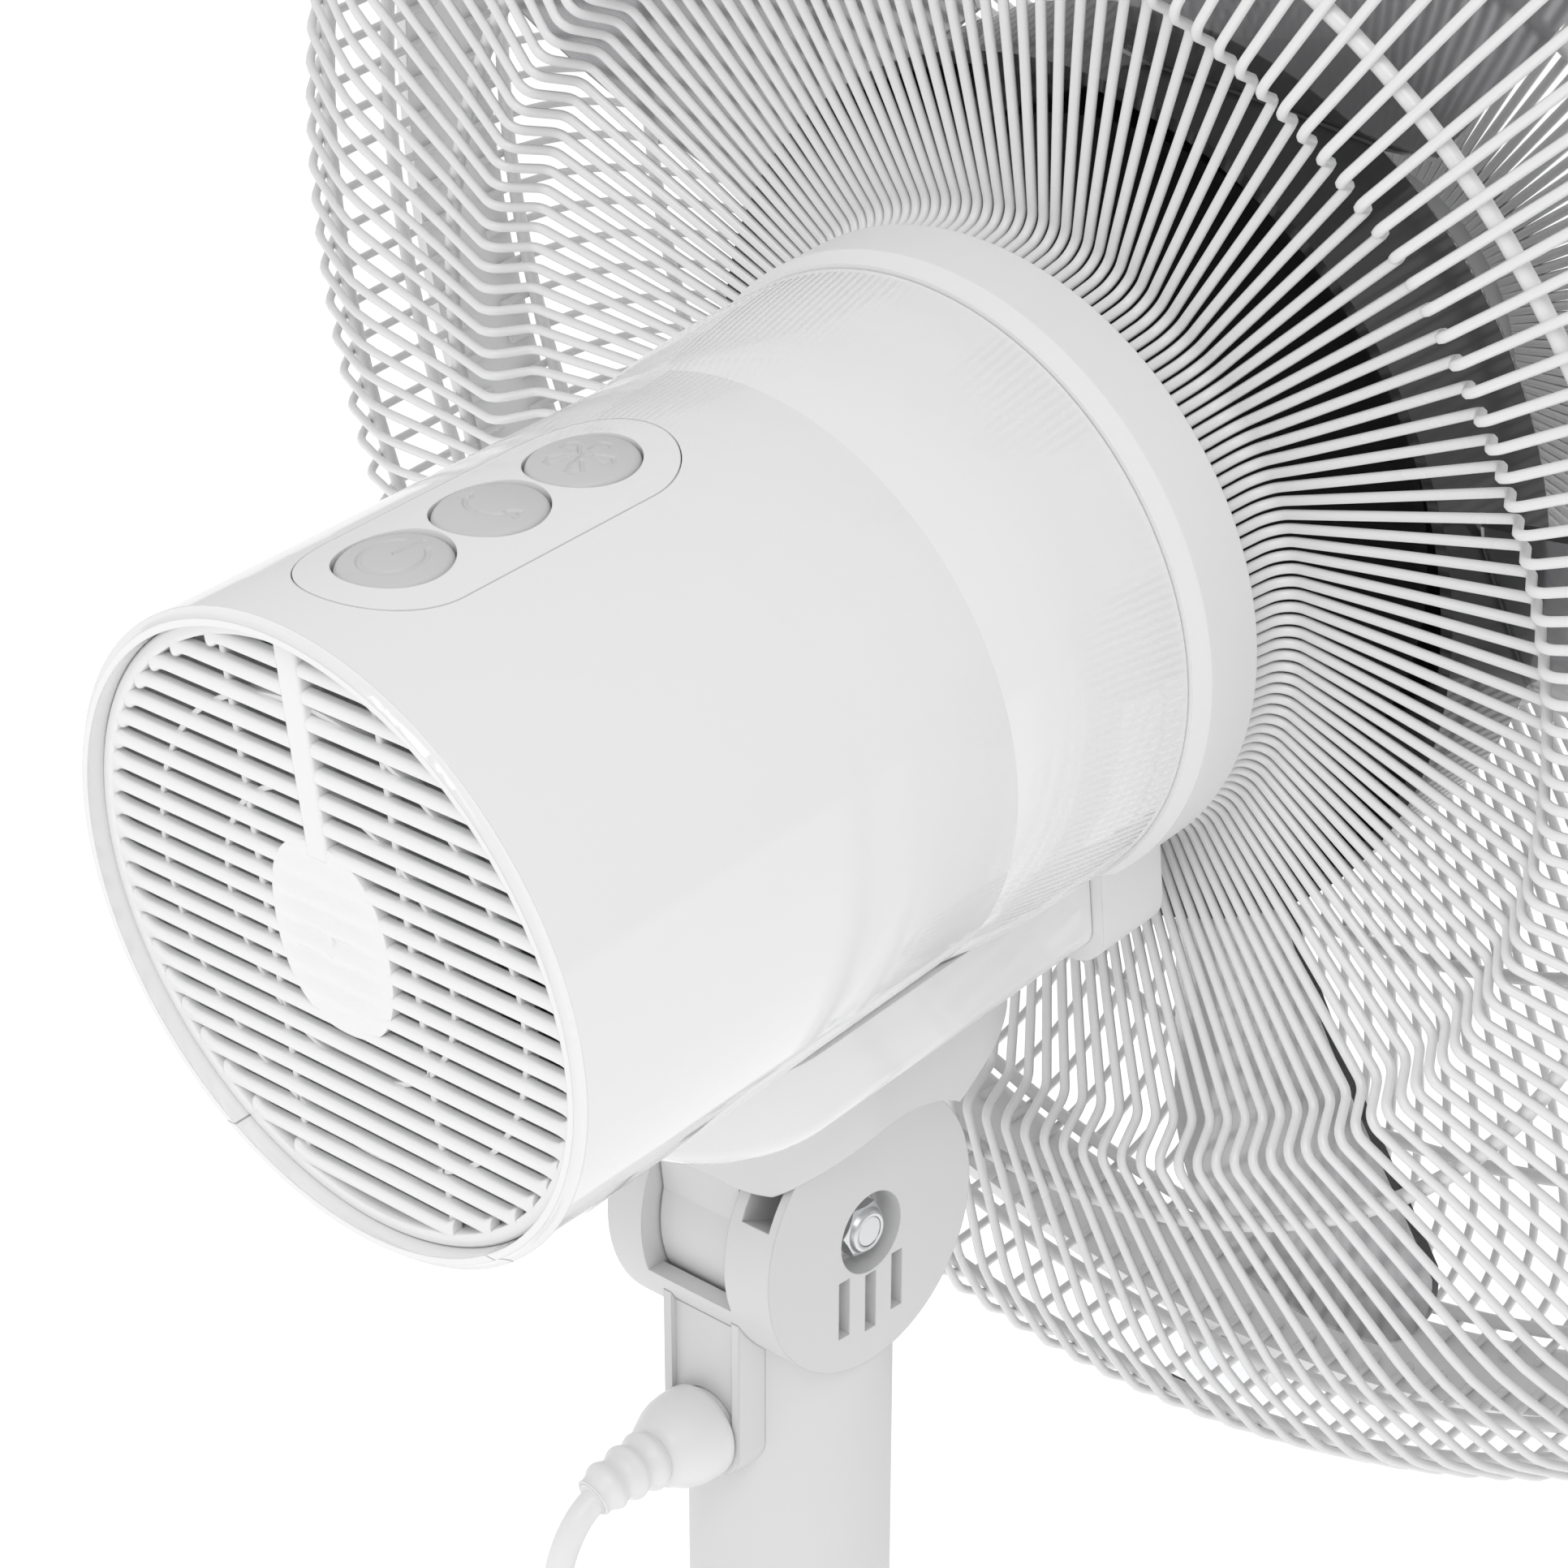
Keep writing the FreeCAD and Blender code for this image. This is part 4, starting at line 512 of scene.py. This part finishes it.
def grille_oval():
    """The oval in the middle, whose face is waved like the slats."""
    verts = []
    for ring in range(1, OVAL_RINGS + 1):
        share = ring / OVAL_RINGS
        for step in range(OVAL_STEPS):
            turn = TAU * step / OVAL_STEPS
            x = OVAL_HALF[0] * share * math.copysign(abs(math.cos(turn)) ** OVAL_POWER, math.cos(turn))
            y = OVAL_HALF[1] * share * math.copysign(abs(math.sin(turn)) ** OVAL_POWER, math.sin(turn))
            wave = OVAL_WAVE * math.cos(TAU * (y / SLAT_PITCH + 0.5))
            verts.append((x, y, GRILLE_FACE + 0.15 + wave * (1 - share ** 6) - 0.5 * share ** 8))
    verts.extend((x, y, GRILLE_FLOOR) for x, y, z in verts[-OVAL_STEPS:])
    faces = grid_faces(OVAL_RINGS + 1, OVAL_STEPS)
    faces.append(tuple(reversed(range(OVAL_STEPS))))
    faces.append(tuple(range(OVAL_RINGS * OVAL_STEPS, (OVAL_RINGS + 1) * OVAL_STEPS)))
    return verts, [tuple(reversed(face)) for face in faces]


def make_grille():
    """The rear grille: a rim, slats with a spine above a waved oval, and thin rings behind the slats."""
    spine = bar(soft_section(SPINE_HALF, GRILLE_FLOOR - 0.6, GRILLE_FACE + 0.1, 0.7),
                [(-GRILLE_IN - 0.6, 0), (SPINE_END, 0)])
    slats = [grille_slat(index) for index in range(SLATS)]
    parts = [grille_rim(), *slats, upright(*spine), *grille_backing(), grille_oval()]
    grille = piece("grille_slats", *joined(*parts), "gloss_white", "head", SHAFT)
    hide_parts("rear_grille")


make_grille()


# ---------------------------------------------------------------- buttons

BUTTON_TOP = 61.1
BUTTON_RADIUS = 10.0
BUTTON_DOME = 42.0
BUTTON_STEPS = 180
FACE_RINGS = [0.3 + 8.2 * ring / 62 for ring in range(63)]      # fine enough for the icon
FACE_EDGE = FACE_RINGS[-1]
EDGE_DROP = 0.86                 # how far the rounded edge starts below the dome's top
EDGE_ROUND = 1.5
BUTTON_PLACES = {"power": 142.1, "swing": 120.5, "speed": 98.9}
STEM_RADIUS = 2.0
ICON_DEPTH = 0.38
ICON_SOFT = 0.18                 # an icon line's sloping side, past its half width
ICON_SLOPE = 0.26
SWING_ARC = 6.2
SWING_MIDDLE = 3.0


def arc_line(middle, radius, first, last, steps=28):
    """Points on an arc; angles in degrees from the button's front, turning to +X."""
    turns = [math.radians(first + (last - first) * step / steps) for step in range(steps + 1)]
    return [(middle[0] + radius * math.sin(turn), middle[1] + radius * math.cos(turn)) for turn in turns]


def power_icon():
    """A power sign: an open ring and a stroke."""
    return [(arc_line((0, 0), 5.7, 30, 330), 0.42), ([(0, 0.6), (0, 6.9)], 0.42)]


def swing_icon():
    """A double arrow on an arc."""
    lines = [(arc_line((0, SWING_MIDDLE), SWING_ARC, 118, 242), 0.34)]
    for angle, side in ((118, 1), (242, -1)):
        turn = math.radians(angle)
        tip = (SWING_ARC * math.sin(turn) + side * 0.5, SWING_MIDDLE + SWING_ARC * math.cos(turn) + 1.5)
        middle, low = tip[0] - side * 0.55, tip[1] - 1.8
        for lean in (-1, 1):
            lines.append(([tip, (middle + lean * 1.15, low - 0.2 * lean * side)], 0.30))
        lines.append(([(middle - 1.15, low), (middle + 1.15, low)], 0.30))
    return lines


def speed_icon():
    """A small fan of five outlined blades; a leaf's points are (radius, degrees)."""
    leaf = [(0.5, 0), (1.9, -16), (3.6, -22), (5.6, -18), (6.2, -4), (5.6, 10), (4.0, 10), (2.4, 8)]
    lines = []
    for blade in range(5):
        lines.append(([(radius * math.sin(math.radians(turn + blade * 72)),
                        radius * math.cos(math.radians(turn + blade * 72))) for radius, turn in leaf], 0.30))
    return lines


def engraving(x, front, lines):
    """How deep the icon's lines cut at one spot of a button's face."""
    depth = 0.0
    for line, half in lines:
        for start, end in zip(line, line[1:]):
            run = (end[0] - start[0], end[1] - start[1])
            away = (x - start[0], front - start[1])
            share = (away[0] * run[0] + away[1] * run[1]) / (run[0] ** 2 + run[1] ** 2)
            share = min(1.0, max(0.0, share))
            gap = math.hypot(away[0] - share * run[0], away[1] - share * run[1])
            if gap < half + ICON_SOFT:
                depth = max(depth, min(1.0, (half + ICON_SOFT - gap) / ICON_SLOPE))
    return ICON_DEPTH * depth


def around(radius):
    """(x, front) places round a circle on a button."""
    turns = [TAU * step / BUTTON_STEPS for step in range(BUTTON_STEPS)]
    return [(radius * math.sin(turn), radius * math.cos(turn)) for turn in turns]


def make_button(name, lines, body, node):
    """A domed round button with a rounded edge and an engraved icon."""
    deep = BUTTON_PLACES[name]
    verts = []
    for radius in FACE_RINGS:
        sag = BUTTON_DOME - math.sqrt(BUTTON_DOME ** 2 - radius ** 2)
        for x, front in around(radius):
            verts.append((x, -BUTTON_TOP + sag + engraving(x, front, lines), deep - front))
    edge = []
    for turn in (18, 36, 54, 72, 90):
        slope = math.radians(turn)
        drop = EDGE_DROP + EDGE_ROUND * (1 - math.cos(slope))
        edge.append((FACE_EDGE + EDGE_ROUND * math.sin(slope), drop))
    edge.append((BUTTON_RADIUS, 6.0))
    for radius, drop in edge:
        verts.extend((x, -BUTTON_TOP + drop, deep - front) for x, front in around(radius))
    rows = len(FACE_RINGS) + len(edge)
    faces = grid_faces(rows, BUTTON_STEPS)
    faces.append(tuple(reversed(range(BUTTON_STEPS))))
    faces.append(tuple(range((rows - 1) * BUTTON_STEPS, rows * BUTTON_STEPS)))
    stem = lathe([(STEM_RADIUS, 0.0), (STEM_RADIUS, 4.2)], 24)
    stem = ([(x, -BUTTON_TOP + 5.9 + z, deep + y) for x, y, z in stem[0]],
            [tuple(reversed(face)) for face in stem[1]])
    button = piece(name + "_cap", *joined((verts, faces), stem), "button_grey", body, SHAFT, 50)
    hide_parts(node)


make_button("power", power_icon(), "power_key", "power_button")
make_button("swing", swing_icon(), "swing_key", "swing_button")
make_button("speed", speed_icon(), "speed_key", "speed_button")


# ---------------------------------------------------------------- tilt nut

NUT_FLAT = 5.02
NUT_THREAD = 3.1
NUT_STEPS = 72
NUT_CHAMFER = 0.58      # how far a corner slopes back for each millimetre past the flats


def make_nut():
    """A chamfered lock nut on the tilt bolt, in the disc ear's recess."""
    low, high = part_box("tilt_nut")
    outer, inner = low.x / MM, high.x / MM
    columns = []
    for step in range(NUT_STEPS):
        turn = TAU * step / NUT_STEPS
        corner = NUT_FLAT / math.cos((turn % (TAU / 6)) - TAU / 12)
        slope = (corner - NUT_FLAT) * NUT_CHAMFER
        profile = ((NUT_THREAD, inner), (NUT_FLAT * 0.94, inner), (corner, inner - slope),
                   (corner, outer + 1.3 + slope), (NUT_FLAT * 0.93, outer + 1.2),
                   (NUT_FLAT * 0.84, outer + 0.3), (NUT_FLAT * 0.74, outer), (NUT_THREAD, outer + 0.1))
        columns.append([(place, radius * math.cos(turn), radius * math.sin(turn))
                        for radius, place in profile])
    height = BOLT.z / MM
    verts = [(x, y, z + height) for row in zip(*columns) for x, y, z in row]
    faces = grid_faces(len(columns[0]), NUT_STEPS, wrap_rows=True)
    nut = piece("lock_nut", verts, faces, "zinc_steel", "stand", STAND, 28)
    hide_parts("tilt_nut")


make_nut()


# ---------------------------------------------------------------- cord connector

RELIEF_STEPS = 48
RELIEF_PAST = 7.0            # how far the relief runs on past the place where the cord is counted from
RIB_COUNT = 3.1
RIB_DEPTH = 1.15
RELIEF_WIDE = 6.3
RELIEF_TAPER = 1.5


def make_connector():
    """The moulded connector in the neck's socket, with a ribbed strain relief that leads the cord out."""
    low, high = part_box("cord_connector")
    height = (low.z + high.z) / 2 / MM
    nose_start = low.y / MM
    face = nose_start + 6.4
    profile = [(7.95, nose_start), (7.95, face), (8.9, face + 0.05), (9.45, face + 0.6), (9.6, face + 1.8),
               (9.58, face + 4.5), (9.3, face + 6.8), (8.7, face + 8.8), (7.8, face + 10.6),
               (7.1, face + 12.0), (6.5, face + 13.0)]
    points = [Vector((0, y, height)) for radius, y in profile]
    radii = [radius for radius, y in profile]
    rib_start = face + 13.4
    rib_length = CORD_EXIT - rib_start + RELIEF_PAST
    for step in range(RELIEF_STEPS + 1):
        share = step / RELIEF_STEPS
        y = rib_start + rib_length * share
        past = max(0.0, y - CORD_EXIT)
        points.append(Vector((0.09 * past, y, height - 0.1 * past - 0.022 * past * past)))
        rib = 0.5 + 0.5 * math.cos(TAU * (share * RIB_COUNT - 0.45))
        body = RELIEF_WIDE - RELIEF_TAPER * share
        radii.append(body - RIB_DEPTH * (1 - rib) * (1 - 0.25 * share))
    tip = points[-1]
    points.append(tip + Vector((0.03, 0.35, -0.1)))
    radii.append(3.5)
    connector = piece("moulded_connector", *swept(points, radii, 48), "cord_pvc", "stand", STAND, 60)
    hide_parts("cord_connector")
    return connector


CONNECTOR = make_connector()


# ---------------------------------------------------------------- power cord

CORD_RADIUS = 2.7 * MM
CORD_START_HEIGHT = 858.5
CORD_FLOOR = 2.8
ROUTE = [
    (0, CORD_EXIT, CORD_START_HEIGHT),
    (0.6, CORD_EXIT + 7, CORD_START_HEIGHT - 1.5),
    (1.4, CORD_EXIT + 13, CORD_START_HEIGHT - 7.5),
    (2.2, CORD_EXIT + 16, CORD_START_HEIGHT - 17),
    (3.2, CORD_EXIT + 16.5, CORD_START_HEIGHT - 31),
    (4.6, CORD_EXIT + 14.5, CORD_START_HEIGHT - 54),
    (6, CORD_EXIT + 10, CORD_START_HEIGHT - 92),
    (5, CORD_EXIT + 6, CORD_START_HEIGHT - 148),
    (-1, CORD_EXIT + 4, CORD_START_HEIGHT - 222),
    (-8, CORD_EXIT + 7, CORD_START_HEIGHT - 300),
    (-11, CORD_EXIT + 15, CORD_START_HEIGHT - 378),
    (-7, CORD_EXIT + 28, CORD_START_HEIGHT - 455),
    (1, CORD_EXIT + 45, CORD_START_HEIGHT - 530),
    (7, CORD_EXIT + 66, CORD_START_HEIGHT - 603),
    (8, CORD_EXIT + 90, CORD_START_HEIGHT - 672),
    (3, CORD_EXIT + 113, CORD_START_HEIGHT - 735),
    (-4, CORD_EXIT + 133, CORD_START_HEIGHT - 788),
    (-9, CORD_EXIT + 149, CORD_START_HEIGHT - 826),
    (-10, CORD_EXIT + 163, CORD_START_HEIGHT - 847),
    (-6, CORD_EXIT + 179, CORD_FLOOR + 0.6),
    (2, CORD_EXIT + 195, CORD_FLOOR),
    (5, CORD_EXIT + 211, CORD_FLOOR),
]
COIL_TURNS = 4.25
COIL_STEPS = 16
MOVE_OVER = 0.25      # share of a turn in which the cord moves over to its next place
INTO_PLUG = 6 * MM    # how far the cord runs into the plug's tail


def coil_points():
    """The coil's turns: two beside each other on the floor, and two on them."""
    low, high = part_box("cord_coil")
    middle = (low + high) / 2
    radius = (high.x - low.x) / 2 - 6 * MM
    beside = 2.75 * MM
    lower, upper = 3.6 * MM, 9.4 * MM
    stages = [(0, beside, lower), (1, -beside, lower), (2, -beside, upper), (3, beside, upper),
              (4, beside, upper), (COIL_TURNS, 8 * MM, 6.6 * MM)]
    points = []
    for step in range(1, int(COIL_TURNS * COIL_STEPS) + 1):
        turn = step / COIL_STEPS
        before = max(stage for stage in stages if stage[0] <= turn)
        after = min((stage for stage in stages if stage[0] > turn), default=before)
        share = max(0.0, (turn - after[0]) / MOVE_OVER + 1)
        share = share * share * (3 - 2 * share)
        out = radius + before[1] + (after[1] - before[1]) * share
        height = before[2] + (after[2] - before[2]) * share
        angle = math.pi - turn * TAU
        points.append(Vector((middle.x + out * math.cos(angle), middle.y + out * math.sin(angle), height)))
    return points


def nurbs_curve(name, points, radius, sides=6):
    """A round tube along one smooth spline."""
    data = bpy.data.curves.new(name, "CURVE")
    data.dimensions = "3D"
    data.bevel_depth = radius
    data.bevel_resolution = sides
    data.resolution_u = 8
    data.use_fill_caps = True
    spline = data.splines.new("NURBS")
    spline.points.add(len(points) - 1)
    for spot, place in zip(spline.points, points):
        spot.co = (*place, 1)
    spline.order_u = 3
    spline.use_endpoint_u = True
    obj = bpy.data.objects.new(name, data)
    scene.collection.objects.link(obj)
    return obj


def make_cord():
    """The mains cord: from its connector down to the floor, and a tied coil behind the base."""
    points = [Vector(point) * MM for point in ROUTE] + coil_points()
    plug_low, plug_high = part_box("mains_plug")
    plug_middle = (plug_low + plug_high) / 2
    points.append(Vector((plug_low.x + INTO_PLUG, plug_middle.y, plug_middle.z)))
    cord = nurbs_curve("mains_cord", points, CORD_RADIUS)
    dress(cord, "cord_pvc")
    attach(cord, "stand")
    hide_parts("power_cord", "cord_coil")


make_cord()


# ---------------------------------------------------------------- floor and light

FLOOR_REACH = 14.0
FLOOR_GLOW = 0.42
SKY_STRENGTH = 0.66
MIDDLE = (0, 0, 1.0)      # where the lamps point


def make_stage():
    """A pale floor that runs far past the view."""
    mesh = bpy.data.meshes.new("floor")
    far = FLOOR_REACH
    mesh.from_pydata([(-far, -far, 0), (far, -far, 0), (far, far, 0), (-far, far, 0)], [], [(0, 1, 2, 3)])
    floor = bpy.data.objects.new("floor", mesh)
    scene.collection.objects.link(floor)
    paint = surface("floor_paint", (0.93, 0.93, 0.93), 0.6, 0.004)
    glow = paint.node_tree.nodes["Principled BSDF"]
    glow.inputs["Emission Color"].default_value = (1, 1, 1, 1)
    glow.inputs["Emission Strength"].default_value = FLOOR_GLOW
    mesh.materials.append(paint)


def area_light(name, place, size, power):
    """A square lamp turned towards the middle of the fan."""
    data = bpy.data.lights.new(name, "AREA")
    data.shape = "SQUARE"
    data.size = size
    data.energy = power
    light = bpy.data.objects.new(name, data)
    scene.collection.objects.link(light)
    light.location = place
    light.rotation_mode = "QUATERNION"
    light.rotation_quaternion = (Vector(MIDDLE) - Vector(place)).to_track_quat("-Z", "Y")


def make_lights():
    """A white sky, a key lamp from behind the fan, and weak lamps beside it and before it."""
    world = bpy.data.worlds.new("studio")
    scene.world = world
    world.use_nodes = True
    world.node_tree.nodes["Background"].inputs["Color"].default_value = (1, 1, 1, 1)
    world.node_tree.nodes["Background"].inputs["Strength"].default_value = SKY_STRENGTH
    area_light("key", (-0.9, 1.5, 3.0), 1.5, 24)
    area_light("fill", (1.9, 1.2, 1.6), 1.4, 2)
    area_light("front", (-1.0, -2.2, 1.8), 1.6, 4)
    scene.view_settings.view_transform = "Standard"


make_stage()
make_lights()
